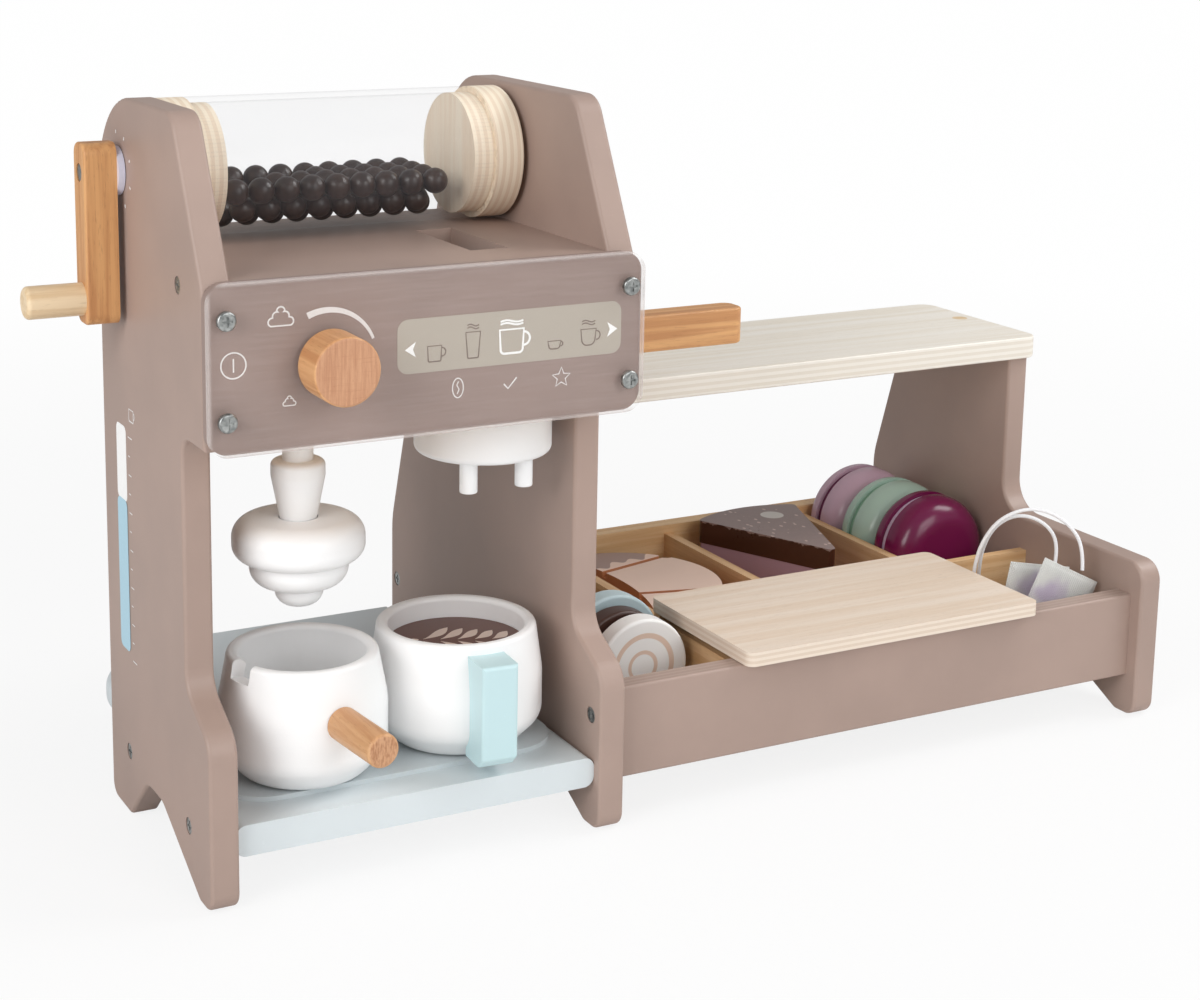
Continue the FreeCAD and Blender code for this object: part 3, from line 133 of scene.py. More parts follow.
class Finish:
    """A paint, wood, metal or cloth surface, worked out from its place on the toy in millimetres."""

    def __init__(self, name, colour, roughness=0.5):
        self.material = bpy.data.materials.new(name)
        self.material.use_nodes = True
        self.tree = self.material.node_tree
        self.shader = self.tree.nodes["Principled BSDF"]
        self.shader.inputs["Base Color"].default_value = colour
        self.shader.inputs["Roughness"].default_value = roughness
        spot = self.node("ShaderNodeTexCoord", "Object")
        apart = self.tree.nodes.new("ShaderNodeSeparateXYZ")
        self.feed(apart.inputs[0], spot)
        self.x = (Field(self, apart.outputs[0]) - LEFT_FACE) * 1000
        self.y = (Field(self, apart.outputs[1]) - FRONT_FACE) * 1000
        self.z = Field(self, apart.outputs[2]) * 1000

    def feed(self, socket, value):
        if isinstance(value, Field):
            self.tree.links.new(value.socket, socket)
        else:
            socket.default_value = value

    def sum(self, kind, *values):
        """One Math node over fields and plain numbers."""
        made = self.tree.nodes.new("ShaderNodeMath")
        made.operation = kind
        for socket, value in zip(made.inputs, values):
            self.feed(socket, value)
        return Field(self, made.outputs[0])

    def node(self, kind, output=0, inputs=None, **settings):
        """Any other node, with its inputs by name and one of its outputs as a field."""
        made = self.tree.nodes.new(kind)
        for key, value in settings.items():
            setattr(made, key, value)
        for key, value in (inputs or {}).items():
            self.feed(made.inputs[key], value)
        return Field(self, made.outputs[output])

    def set(self, socket, value):
        self.feed(self.shader.inputs[socket], value)

    def spot(self, x_share=1, y_share=1, z_share=1):
        """The place in millimetres, stretched along any axis."""
        scaled = {"X": self.x * x_share, "Y": self.y * y_share, "Z": self.z * z_share}
        return self.node("ShaderNodeCombineXYZ", 0, scaled)

    def noise(self, spot, scale=1, detail=3, roughness=0.5, twist=0):
        values = {"Vector": spot, "Scale": scale, "Detail": detail, "Roughness": roughness}
        values["Distortion"] = twist
        return self.node("ShaderNodeTexNoise", 0, values)

    def blend(self, amount, first, second):
        made = self.tree.nodes.new("ShaderNodeMix")
        made.data_type = "RGBA"
        self.feed(made.inputs[0], amount)
        self.feed(made.inputs[6], first)
        self.feed(made.inputs[7], second)
        return Field(self, made.outputs[2])

    def bump(self, height, distance, strength=1, flat=False):
        """Raise the surface by a field; flat pieces keep their true face direction."""
        values = {"Height": height, "Distance": distance, "Strength": strength}
        if flat:
            values["Normal"] = self.node("ShaderNodeNewGeometry", "True Normal")
        self.set("Normal", self.node("ShaderNodeBump", 0, values))

    def colour(self):
        """The colour so far, as a field to build on."""
        return Field(self, self.shader.inputs["Base Color"].links[0].from_socket)

    def facing(self, way):
        """How far a face looks along X, Y or Z of the toy."""
        face = self.node("ShaderNodeNewGeometry", "True Normal")
        return self.node("ShaderNodeSeparateXYZ", way, {"Vector": face})


def shade(colour, share):
    """The same colour, lighter or darker."""
    return (min(1, colour[0] * share), min(1, colour[1] * share), min(1, colour[2] * share), 1)


def paint(name, colour, roughness=0.42, cloud=0.05, peel=0.03):
    """Sprayed paint on wood: faint clouds of tone, a fine orange peel and a few dull spots."""
    finish = Finish(name, colour, roughness)
    clouds = finish.noise(finish.spot(), 0.02, 4)
    fine = finish.noise(finish.spot(), 0.9, 2)
    level = clouds.smooth(0.3, 0.7)
    mixed = finish.blend(level, shade(colour, 1 - cloud), shade(colour, 1 + cloud))
    specks = finish.noise(finish.spot(), 0.45, 1).smooth(0.72, 0.8)
    finish.set("Base Color", finish.blend(specks * 0.12, mixed, shade(colour, 1.25)))
    finish.set("Roughness", clouds * 0.12 + fine * 0.06 + (roughness - 0.09))
    finish.bump(fine + specks * 0.4, peel * MM, 0.6)
    return finish


def dress(finish, *names):
    """Give the CAD pieces their finish."""
    for name in names:
        nodes[name].material_slots[0].material = finish.material


TAUPE = tone(169, 146, 135)
taupe_paint = paint("taupe_paint", TAUPE, 0.45)
dress(taupe_paint, "panel_left", "panel_middle", "panel_end", "top_board")

front_paint = paint("box_front_paint", TAUPE, 0.45)
plies_shown = (front_paint.y * 2.1).wave().smooth(0.1, 0.9)
on_top = front_paint.facing("Z").smooth(0.6, 0.9)
top_edge = front_paint.blend(on_top * plies_shown * 0.35, front_paint.colour(), tone(198, 182, 172))
front_paint.set("Base Color", top_edge)
dress(front_paint, "box_front")

# Screws in the panels and pan heads on the fascia: bright zinc-plated steel with a cross recess.
# They are turned in by machine, so every head is slightly brushed and a little dull in its slots.

steel = Finish("zinc_plate", tone(176, 178, 176), 0.3)
steel.set("Metallic", 1.0)
ripple = steel.noise(steel.spot(), 0.5, 2)
steel.set("Roughness", ripple * 0.2 + 0.24)
steel.set("Base Color", steel.blend(ripple.smooth(0.3, 0.75), tone(132, 135, 134), tone(190, 192, 190)))
steel.bump(ripple, 0.02 * MM, 0.4)
dress(steel, "screws_left_panel", "screws_middle_panel", "fascia_screws", "crank_screw")

# Base board: a board with a large corner and a raised pad, both in a cool pale grey.
# The pad is glued on and keeps jug and cup in place.

base_paint = paint("pale_grey_paint", tone(216, 224, 227), 0.4, 0.02)
dress(base_paint, "base_board", "base_pad")

# Lever, crank, handle, knob and dowels: beech, sawn or turned, sanded and lacquered.
# Growth bands and short dark pores run with the grain; the knob's face shows the rays.


def wood(name, light, dark, along, band=0.28, gloss=0.45):
    """Sanded wood whose grain runs along X, Y or Z."""
    finish = Finish(name, light, gloss)
    slow = [0.035 if way == along else 1 for way in "XYZ"]
    quick = [0.22 if way == along else 2.6 for way in "XYZ"]
    bands = finish.noise(finish.spot(*slow), band, 4, 0.6, 0.4)
    pores = finish.noise(finish.spot(*quick), 0.9, 2).smooth(0.6, 0.72)
    mixed = finish.blend(bands.smooth(0.36, 0.66), light, dark)
    finish.set("Base Color", finish.blend(pores * 0.3, mixed, shade(dark, 0.62)))
    finish.set("Roughness", bands * 0.18 + pores * 0.1 + (gloss - 0.1))
    finish.bump(bands * 0.5 - pores, 0.06 * MM, 0.5)
    return finish


BEECH = tone(222, 168, 112)
BEECH_DARK = tone(196, 138, 88)
DOWEL = tone(238, 214, 178)
DOWEL_DARK = tone(222, 192, 150)
beech_x = wood("beech_lever", BEECH, BEECH_DARK, "X")
beech_z = wood("beech_crank", BEECH, BEECH_DARK, "Z")
dowel_x = wood("dowel_grip", DOWEL, DOWEL_DARK, "X")
dress(beech_x, "brewing_lever")
dress(beech_z, "crank_arm")
dress(dowel_x, "crank_grip", "drum_axle", "shelf_plug")
handle_wood = wood("beech_handle", tone(216, 168, 122), tone(196, 142, 96), "Y")
cut = handle_wood.noise(handle_wood.spot(1, 0.1, 0.3), 1.4, 3).smooth(0.35, 0.7)
end_grain = handle_wood.blend(cut, tone(206, 158, 120), tone(176, 122, 84))
at_end = (-handle_wood.facing("Y")).smooth(0.85, 0.97)
handle_wood.set("Base Color", handle_wood.blend(at_end, handle_wood.colour(), end_grain))
dress(handle_wood, "jug_handle")
dress(wood("dowel_spindles", DOWEL, DOWEL_DARK, "Z"), "knob_spindle", "brewing_spindle")

knob = wood("beech_knob", tone(220, 168, 118), tone(198, 140, 92), "Y")
rays = knob.noise(knob.spot(1, 0.05, 0.06), 0.8, 4, 0.65).smooth(0.3, 0.72)
lines = knob.noise(knob.spot(0.06, 0.05, 1), 1.3, 2).smooth(0.55, 0.7)
flecks = knob.noise(knob.spot(2.4, 0.1, 0.5), 1.2, 2).smooth(0.6, 0.7)
on_face = (-knob.facing("Y")).smooth(0.7, 0.95)
grain = knob.blend(rays, tone(208, 158, 122), tone(184, 130, 96))
grain = knob.blend(lines * 0.22, grain, tone(170, 112, 76))
grain = knob.blend(flecks * 0.3, grain, tone(160, 104, 70))
knob.set("Base Color", knob.blend(on_face, knob.colour(), grain))
dress(knob, "knob")

# Shelf, box and loose board: bare plywood; shelf and box are fixed between the panels.
# Their plies show as light and dark stripes on the edges of the shelf and the loose board.


def plywood(name, face_light, face_dark, along, across, low, thick, plies):
    """Birch plywood: long grain on the faces, and light and dark plies on the edges."""
    finish = wood(name, face_light, face_dark, along, 0.16, 0.5)
    place = {"X": finish.x, "Y": finish.y, "Z": finish.z}[across]
    layer = (place - low) * (plies / thick)
    odd = (layer * 0.5).part().above(0.5)
    inside = layer.smooth(0.05, 0.12) * (plies - layer).smooth(0.05, 0.12)
    rough = finish.noise(finish.spot(), 1.6, 3)
    light = finish.blend(rough, shade(face_light, 1.02), shade(face_light, 0.94))
    dark = finish.blend(rough, shade(face_dark, 0.86), shade(face_dark, 0.98))
    flat = finish.facing(across).size().smooth(0.5, 0.8)
    stripes = finish.blend(odd * 0.8, light, dark)
    finish.set("Base Color", finish.blend(inside * (1 - flat), finish.colour(), stripes))
    return finish


def node_mm(name, low=True):
    """The lowest or highest corner of a CAD piece, in millimetres on the toy."""
    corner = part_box(name)[0 if low else 1]
    return Vector(((corner.x - LEFT_FACE) / MM, (corner.y - FRONT_FACE) / MM, corner.z / MM))


BIRCH = tone(244, 238, 228)
BIRCH_DARK = tone(236, 227, 212)
VENEER = tone(236, 221, 205)
VENEER_DARK = tone(228, 208, 187)
for board, name, light, dark, plies in (
    ("shelf", "shelf_plywood", BIRCH, BIRCH_DARK, 7),
    ("loose_board", "board_plywood", VENEER, VENEER_DARK, 5),
):
    under, over = node_mm(board).z, node_mm(board, False).z
    dress(plywood(name, light, dark, "X", "Z", under, over - under, plies), board)
box_ply = wood("box_plywood", tone(236, 200, 154), tone(220, 176, 126), "X", 0.2)
dress(box_ply, "box_back", "cross_rail", "head_floor")
divider_ply = wood("divider_plywood", tone(232, 194, 148), tone(212, 168, 120), "Y", 0.2)
dress(divider_ply, "divider_one", "divider_two", "divider_three")
dress(wood("box_floor_ply", tone(206, 198, 186), tone(190, 180, 166), "X", 0.1), "box_floor")

# Bean drum: a clear acrylic tube, closed by two stepped plywood discs on an 8 mm dowel.
# The plies show as fine rings on the discs' rims; the beans are turned beads of dark wood.

DISC = tone(250, 236, 214)
DISC_DARK = tone(243, 222, 196)
DISC_PLIES = 13
for name in ("drum_end_left", "drum_end_right"):
    start, end = node_mm(name).x, node_mm(name, False).x
    dress(plywood(name + "_plywood", DISC, DISC_DARK, "Z", "X", start, end - start, DISC_PLIES), name)

tube = Finish("clear_tube", tone(206, 206, 212), 0.06)
# Painted reflection: the tube turns grey and less clear where its wall is seen edge-on, standing in for the
# light that the wall reflects and bends there.
painted_edge_reflection = tube.node("ShaderNodeLayerWeight", "Facing", {"Blend": 0.2})
smear = tube.noise(tube.spot(0.2, 1, 1), 0.05, 3)
tube.set("Alpha", painted_edge_reflection.smooth(0.35, 1) * 0.34 + smear.smooth(0.5, 0.8) * 0.03 + 0.04)
tube.set("Roughness", smear * 0.08 + 0.03)
dress(tube, "drum_tube")

BEAN_WIDE = 11.0
BEAN_STEP = BEAN_WIDE + 0.15
TUBE_WALL, WALL_GAP = 2.5, 0.2
PLUG_DEEP, PLUG_GAP = 9.5, 0.3
AXLE = (node_mm("drum_axle") + node_mm("drum_axle", False)) / 2


def bean_places():
    """Rows of beans along the bottom of the tube and two rows lying on them."""
    tube_low, tube_high = node_mm("drum_tube"), node_mm("drum_tube", False)
    lay = (tube_high.z - tube_low.z) / 2 - TUBE_WALL - WALL_GAP - BEAN_WIDE / 2
    inset = PLUG_DEEP + PLUG_GAP + BEAN_WIDE / 2
    start = tube_low.x + inset
    count = int((tube_high.x - inset - start) / BEAN_STEP) + 1
    turn = 2 * math.asin(BEAN_STEP / 2 / lay)
    nest = BEAN_STEP * math.sqrt(0.75) + 0.05
    rows = [(0, lay, 0, 0), (-1, lay, 0, 1), (1, lay, 0, 1), (-2, lay, 0, 0), (2, lay, 1, 0)]
    rows += [(-1, lay - nest, 2, 0), (1, lay - nest, 4, 0)]
    places = []
    for order, radius, first, shifted in rows:
        y = AXLE.y + radius * math.sin(order * turn)
        z = AXLE.z - radius * math.cos(order * turn)
        for i in range(first, count - shifted):
            places.append(at(start + (i + shifted / 2) * BEAN_STEP, y, z))
    return places


def make_mesh(name, points, faces):
    """A mesh object at the origin, whose places are in its points."""
    mesh = bpy.data.meshes.new(name)
    mesh.from_pydata(points, [], faces)
    mesh.update()
    made = bpy.data.objects.new(name, mesh)
    bpy.context.scene.collection.objects.link(made)
    return made


def to_plain(source, name):
    """The evaluated object as one plain mesh, in place of the source."""
    graph = bpy.context.evaluated_depsgraph_get()
    mesh = bpy.data.meshes.new_from_object(source.evaluated_get(graph), depsgraph=graph)
    made = bpy.data.objects.new(name, mesh)
    bpy.context.scene.collection.objects.link(made)
    bpy.data.objects.remove(source)
    return made


class Grower:
    """A Geometry Nodes tree with named sizes, ending in real faces with one finish."""

    def __init__(self, name, sizes):
        self.tree = bpy.data.node_groups.new(name, "GeometryNodeTree")
        face = self.tree.interface
        face.new_socket("Geometry", in_out="INPUT", socket_type="NodeSocketGeometry")
        self.keys = {}
        for word in sizes:
            made = face.new_socket(word, in_out="INPUT", socket_type="NodeSocketFloat")
            self.keys[word] = made.identifier
        face.new_socket("Geometry", in_out="OUTPUT", socket_type="NodeSocketGeometry")
        self.start = self.tree.nodes.new("NodeGroupInput")
        self.sizes = sizes

    def node(self, kind, inputs=None, **settings):
        made = self.tree.nodes.new(kind)
        for key, value in settings.items():
            setattr(made, key, value)
        for key, value in (inputs or {}).items():
            if isinstance(value, bpy.types.NodeSocket):
                self.tree.links.new(value, made.inputs[key])
            else:
                made.inputs[key].default_value = value
        return made

    def finish(self, geometry, material):
        real = self.node("GeometryNodeRealizeInstances", {"Geometry": geometry})
        done = self.node("GeometryNodeSetMaterial", {"Geometry": real.outputs[0]})
        done.inputs["Material"].default_value = material
        end = self.tree.nodes.new("NodeGroupOutput")
        self.tree.links.new(done.outputs[0], end.inputs[0])

    def grow(self, host, name):
        modifier = host.modifiers.new(name, "NODES")
        modifier.node_group = self.tree
        for word, value in self.sizes.items():
            modifier[self.keys[word]] = value
        return to_plain(host, name)


bean_paint = Finish("dark_bean_paint", tone(42, 22, 12), 0.34)
bean_tone = bean_paint.noise(bean_paint.spot(), 0.12, 3).smooth(0.3, 0.7)
bean_paint.set("Base Color", bean_paint.blend(bean_tone, tone(32, 15, 7), tone(50, 30, 18)))
bean_paint.bump(bean_paint.noise(bean_paint.spot(), 1.2, 3), 0.12 * MM, 0.6)

bean_grower = Grower("bean_grower", {"Bean Radius": BEAN_WIDE / 2 * MM})
radius = bean_grower.start.outputs["Bean Radius"]
ball = bean_grower.node("GeometryNodeMeshUVSphere", {"Segments": 28, "Rings": 16, "Radius": radius})
bead = bean_grower.node("GeometryNodeSetShadeSmooth", {"Geometry": ball.outputs[0]}).outputs[0]
points = bean_grower.start.outputs["Geometry"]
laid = bean_grower.node("GeometryNodeInstanceOnPoints", {"Points": points, "Instance": bead})
bean_grower.finish(laid.outputs[0], bean_paint.material)
beans = bean_grower.grow(make_mesh("bean_places", bean_places(), []), "beans")
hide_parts("coffee_beans")
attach(beans, "machine")

# Crank washer: a white plastic ring that keeps the arm off the panel.
# It is moulded, with a slight haze; the arm and its grip have their wood above.

washer = Finish("white_washer", tone(216, 216, 234), 0.3)
washer.bump(washer.noise(washer.spot(), 0.8, 2), 0.05 * MM, 0.4)
haze = washer.noise(washer.spot(), 0.1, 2)
washer.set("Base Color", washer.blend(haze, tone(208, 208, 230), tone(228, 228, 240)))
dress(washer, "crank_washer")

# Fascia's symbols: thin ink, screen-printed on the board behind the clear plate.
# They are strokes of even width, and filled patches for the display and the knob's scale.


def ink(name, colour):
    """Screen-printed ink, slightly uneven."""
    finish = Finish(name, colour, 0.5)
    grainy = finish.noise(finish.spot(), 0.7, 3)
    finish.set("Base Color", finish.blend(grainy, shade(colour, 0.95), shade(colour, 1.04)))
    finish.bump(grainy, 0.01 * MM, 0.3)
    return finish.material


INK_THICK = 0.12


def arc(x, y, radius, start=0, end=360, steps=24):
    """Points on a stretch of a circle, angles in degrees."""
    points = []
    for i in range(steps + 1):
        turn = math.radians(start + (end - start) * i / steps)
        points.append((x + radius * math.cos(turn), y + radius * math.sin(turn)))
    return points


def rounded(left, low, right, high, radius, steps=6):
    """The outline of a rectangle with round corners."""
    points = []
    corners = ((right, high, 0), (left, high, 90), (left, low, 180), (right, low, 270))
    for x, y, turn in corners:
        inner_x = x - radius if x == right else x + radius
        inner_y = y - radius if y == high else y + radius
        points += arc(inner_x, inner_y, radius, turn, turn + 90, steps)
    return points


def upwards(outline):
    """The same outline, run the way that makes its front face look off the board."""
    area = sum(a[0] * b[1] - b[0] * a[1] for a, b in zip(outline, outline[1:] + outline[:1]))
    return outline if area > 0 else outline[::-1]


def print_on(name, plane, strokes, patches, material, body="machine"):
    """Ink on a flat face: strokes are (points, width, closed), patches are outlines."""
    parts = []
    for points, wide, closed in strokes:
        curve = bpy.data.curves.new(name, "CURVE")
        curve.dimensions = "3D"
        curve.bevel_depth = wide / 2
        curve.bevel_resolution = 2
        curve.use_fill_caps = True
        line = curve.splines.new("POLY")
        line.points.add(len(points) - 1)
        for point, (a, b) in zip(line.points, points):
            point.co = (a, b, 0, 1)
        line.use_cyclic_u = closed
        drawn = bpy.data.objects.new(name, curve)
        bpy.context.scene.collection.objects.link(drawn)
        parts.append(to_plain(drawn, name))
        parts[-1].data.transform(Matrix.Diagonal((1, 1, INK_THICK / wide, 1)))
    for outline in map(upwards, patches):
        count = len(outline)
        half = INK_THICK / 2
        front = [(a, b, half) for a, b in outline]
        back = [(a, b, -half) for a, b in outline]
        sides = [(i, i + count, (i + 1) % count + count, (i + 1) % count) for i in range(count)]
        faces = [tuple(range(count)), tuple(reversed(range(count, 2 * count)))] + sides
        parts.append(make_mesh(name, front + back, faces))
    if len(parts) > 1:
        with bpy.context.temp_override(active_object=parts[0], selected_editable_objects=parts):
            bpy.ops.object.join()
    drawn = parts[0]
    drawn.name = name
    drawn.data.transform(plane)
    drawn.data.materials.clear()
    drawn.data.materials.append(material)
    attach(drawn, body)


def plane_on(origin, right, up):
    """The plane that ink lies on: where it starts, and which ways are right and up."""
    out = right.cross(up)
    turned = Matrix((right, up, out)).transposed().to_4x4()
    return Matrix.Translation(origin) @ turned @ Matrix.Scale(MM, 4)


fascia_ink_y = node_mm("fascia_board").y - INK_THICK / 2 - 0.02
FASCIA = plane_on(at(0, fascia_ink_y, 0), Vector((1, 0, 0)), Vector((0, 0, 1)))
white_ink = ink("white_ink", tone(232, 228, 226))
bright_ink = ink("bright_ink", tone(252, 252, 250))
display_ink = ink("display_ink", tone(180, 171, 158))
line_ink = ink("line_ink", tone(124, 108, 98))


def cloud_outline(x, z, wide):
    """A small cloud with three bumps on a flat base."""
    r = wide / 2
    lobes = [(-0.62, -0.12, 0.3, 250, 95), (-0.3, 0.28, 0.3, 200, 60), (0.0, 0.62, 0.3, 170, 10)]
    lobes += [(0.3, 0.28, 0.3, 120, -20), (0.62, -0.12, 0.3, 85, -70)]
    points = []
    for across, up, radius, start, end in lobes:
        points += arc(x + across * r, z + up * r, radius * r, start, end, 6)
    return points


def cup_lines(x, z, wide, tall, handle=True, foot=1.0, corner=0.22, line=0.55):
    """Outline of a cup with a flat rim and round bottom corners, with or without its handle."""
    low, high, base = z - tall / 2, z + tall / 2, wide / 2 * foot
    r = min(base, tall) * corner
    body = [(x - wide / 2, high)] + arc(x - base + r, low + r, r, 180, 270, 6)
    body += arc(x + base - r, low + r, r, 270, 360, 6) + [(x + wide / 2, high)]
    lines = [(body, line, True)]
    if handle:
        lines.append((arc(x + wide / 2, z + tall * 0.08, tall * 0.28, 90, -90, 12), line, False))
    return lines


def steam(x, z, wide, line=0.5):
    """Two wavy lines of steam over a cup."""
    lines = []
    for lift in (0, 1.1):
        points = []
        for k in range(9):
            share = k / 8
            points.append((x + (share - 0.5) * wide, z + lift + 0.45 * math.sin(share * 6.3)))
        lines.append((points, line, False))
    return lines


POWER_X, POWER_Z = 10.4, 219.5
BEAN_SIGN_X, BEAN_SIGN_Z = 102.3, 202
STAR_X, STAR_Z = 148, 201.8
bean_ring = arc(BEAN_SIGN_X, BEAN_SIGN_Z, 3.9, 0, 352)
bean_oval = [(BEAN_SIGN_X + (x - BEAN_SIGN_X) * 0.6, z) for x, z in bean_ring]
bean_crease = [(102.6, 204.6), (101.8, 203.2), (102.8, 201.4), (102, 199.6)]
star = []
for i in range(10):
    turn, point = math.radians(90 + 36 * i), 1.9 if i % 2 else 4.2
    star.append((STAR_X + point * math.cos(turn), STAR_Z + point * math.sin(turn)))
signs = [
    (arc(POWER_X, POWER_Z, 4.9, 0, 352, 32), 0.6, True),
    ([(POWER_X, POWER_Z - 2.6), (POWER_X, POWER_Z + 2.6)], 0.6, False),
    (cloud_outline(29.2, 235.2, 11), 0.65, True),
    (cloud_outline(32.3, 203.3, 5.6), 0.5, True),
    (bean_oval, 0.5, True),
    (bean_crease, 0.5, False),
    ([(122.3, 201.6), (124.2, 199.6), (128, 203.8)], 0.7, False),
    (star, 0.55, True),
]
print_on("fascia_marks", FASCIA, signs, [], white_ink)

KNOB = (node_mm("knob") + node_mm("knob", False)) / 2
SCALE_RADIUS = 20
scale_outer, scale_inner = [], []
for i in range(25):
    share = i / 24
    turn = math.radians(114 - 92 * share)
    half = 1.3 - 0.75 * share
    for points, radius in ((scale_outer, SCALE_RADIUS + half), (scale_inner, SCALE_RADIUS - half)):
        points.append((KNOB.x + radius * math.cos(turn), KNOB.z + radius * math.sin(turn)))
print_on("knob_scale", FASCIA, [], [scale_outer + scale_inner[::-1]], white_ink)

DISPLAY = plane_on(at(0, fascia_ink_y - INK_THICK, 0), Vector((1, 0, 0)), Vector((0, 0, 1)))
print_on("display", FASCIA, [], [rounded(76.5, 209.5, 175, 231, 4.5)], display_ink)
cups = cup_lines(x=92.2, z=216.6, wide=6, tall=6.2, foot=0.9)
cups += cup_lines(x=108.7, z=218.6, wide=6.4, tall=10.4, handle=False, foot=0.72) + steam(108.7, 225.4, 5)
cups += cup_lines(x=144.6, z=215.4, wide=5.8, tall=3.2, foot=0.86, corner=0.5)
cups += cup_lines(x=160, z=217.2, wide=7, tall=6.6, foot=0.86, corner=0.8) + steam(160, 222.6, 6)
print_on("display_cups", DISPLAY, cups, [], line_ink)
mug = cup_lines(x=125.6, z=218.6, wide=10.6, tall=9.6, foot=0.92, corner=0.34, line=0.95)
mug += steam(125.6, 225.6, 10, line=0.8)
arrow = [(-2.2, 0), (2.4, 3), (1.2, 0), (2.4, -3)]
left_arrow = [(81.8 + x, 219 + z) for x, z in arrow]
right_arrow = [(171 - x, 219.6 + z) for x, z in arrow]
print_on("display_mug", DISPLAY, mug, [left_arrow, right_arrow], bright_ink)

# Level gauge on the left panel: a white and a blue stretch, and ticks with a cup above them.
# It is screen-printed on the paint, and so is the ring of little marks round the drum's axle.
# Places on the panel's plane count down from 0 at its front to its back.

PANEL = plane_on(at(-INK_THICK / 2 - 0.02, 0, 0), Vector((0, -1, 0)), Vector((0, 0, 1)))
PANEL_OVER = plane_on(at(-INK_THICK * 1.5 - 0.03, 0, 0), Vector((0, -1, 0)), Vector((0, 0, 1)))
GAUGE_BACK, GAUGE_FRONT = -111, -98
GAUGE_LOW, WATER_LEVEL, GAUGE_HIGH = 75, 141, 173
empty = rounded(GAUGE_BACK, WATER_LEVEL - 0.5, GAUGE_FRONT, GAUGE_HIGH, 3)
water = rounded(GAUGE_BACK, GAUGE_LOW, GAUGE_FRONT, WATER_LEVEL, 3)
print_on("gauge_empty", PANEL, [], [empty], bright_ink)
print_on("gauge_water", PANEL_OVER, [], [water], ink("blue_ink", tone(176, 212, 228)))
TICKS, TICK_STEP, TICK_WIDE = 13, 8.1, 0.6
TICK_FOOT_X, TICK_FOOT_Z = -95, 72.5
marks = []
for i in range(TICKS):
    z = TICK_FOOT_Z + i * TICK_STEP
    long = 5.4 if i in (0, TICKS - 1) else 3.6 if i % 2 == 0 else 2.2
    marks.append(([(TICK_FOOT_X, z), (TICK_FOOT_X + long, z)], TICK_WIDE, False))
marks += cup_lines(x=-90, z=179.5, wide=6, tall=5, line=TICK_WIDE)
AXLE_MARKS, AXLE_RING = 9, 15
for i in range(AXLE_MARKS):
    turn = math.radians(20 + i * 40)
    inner, outer = [
        (-AXLE.y + radius * math.cos(turn), AXLE.z + radius * math.sin(turn))
        for radius in (AXLE_RING, AXLE_RING + 1.4)
    ]
    marks.append(([inner, outer], 1.1, False))
print_on("gauge_marks", PANEL, marks, [], white_ink)

# Fascia: a board sprayed taupe, behind a clear acrylic plate that four screws hold.
# The plate's edges are polished, and a pale line is painted along them as a highlight for the light they
# catch; its back stands just off the board.

fascia = paint("fascia_paint", tone(148, 127, 119), 0.5, 0.04)
streak = fascia.noise(fascia.spot(0.05, 1, 1), 0.9, 4)
streaks_shown = streak.smooth(0.35, 0.75) * 0.22
fascia.set("Base Color", fascia.blend(streaks_shown, fascia.colour(), tone(172, 154, 147)))
fascia.bump(streak, 0.02 * MM, 0.5, True)
dress(fascia, "fascia_board")

PLATE_GAP = 0.3
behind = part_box("fascia_plate")[1].y - 0.01 * MM
shape = bmesh.new()
shape.from_mesh(nodes["fascia_plate"].data)
bmesh.ops.remove_doubles(shape, verts=shape.verts, dist=0.001 * MM)
for vertex in shape.verts:
    if vertex.co.y > behind:
        vertex.co.y -= PLATE_GAP * MM
glass = make_mesh("clear_plate", [], [])
shape.to_mesh(glass.data)
shape.free()
glass.data.attributes.remove(glass.data.attributes["custom_normal"])
glass.data.shade_smooth()
glass.data.set_sharp_from_angle(angle=math.radians(30))
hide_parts("fascia_plate")
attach(glass, "machine")

plate = Finish("clear_plate", tone(222, 212, 208), 0.12)
plate_low, plate_high = node_mm("fascia_plate"), node_mm("fascia_plate", False)
middle = (plate_low + plate_high) / 2
side = (plate.x - middle.x).size() - (plate_high.x - middle.x)
edge = (plate.z - middle.z).size() - (plate_high.z - middle.z)
# Painted highlight: a pale line along the plate's polished edges, standing in for the light they catch.
rim = side.most(edge).smooth(-1.8, -0.2)
blur = plate.noise(plate.spot(0.1, 1, 1), 0.08, 3)
plate.set("Alpha", rim * 0.34 + blur * 0.06 + 0.01)
plate.set("Roughness", blur * 0.12 + 0.12)
plate.bump(blur, 0.02 * MM, 0.3, True)
glass.data.materials.append(plate.material)

# White turned pieces: nozzle, milk foam, brewing head, jug and cup.
# They are turned from beech and sprayed with a satin white that fills the grain.

white_paint = paint("white_paint", tone(247, 247, 247), 0.36, 0.004, 0.05)
dress(white_paint, "steam_nozzle", "milk_foam", "brewing_head", "brewing_spouts", "milk_jug", "cup")
blue_paint = paint("pale_blue_paint", tone(198, 226, 230), 0.4, 0.015)
dress(blue_paint, "cup_handle")

# Coffee: a brown painted disc, pressed into the cup below its rim.
# A leaf of milk foam is printed on it: five pairs of drops along a stem, and a short foot.

coffee_paint = paint("coffee_paint", tone(108, 72, 62), 0.4, 0.06)
dress(coffee_paint, "coffee")
coffee_low, coffee_high = node_mm("coffee"), node_mm("coffee", False)
coffee_mid = (coffee_low + coffee_high) / 2
leaf_root = at(coffee_mid.x, coffee_mid.y, coffee_high.z + INK_THICK / 2 + 0.02)
leaf_turn = Matrix.Rotation(math.radians(-24), 4, "Z")
COFFEE = Matrix.Translation(leaf_root) @ leaf_turn @ Matrix.Scale(MM, 4)


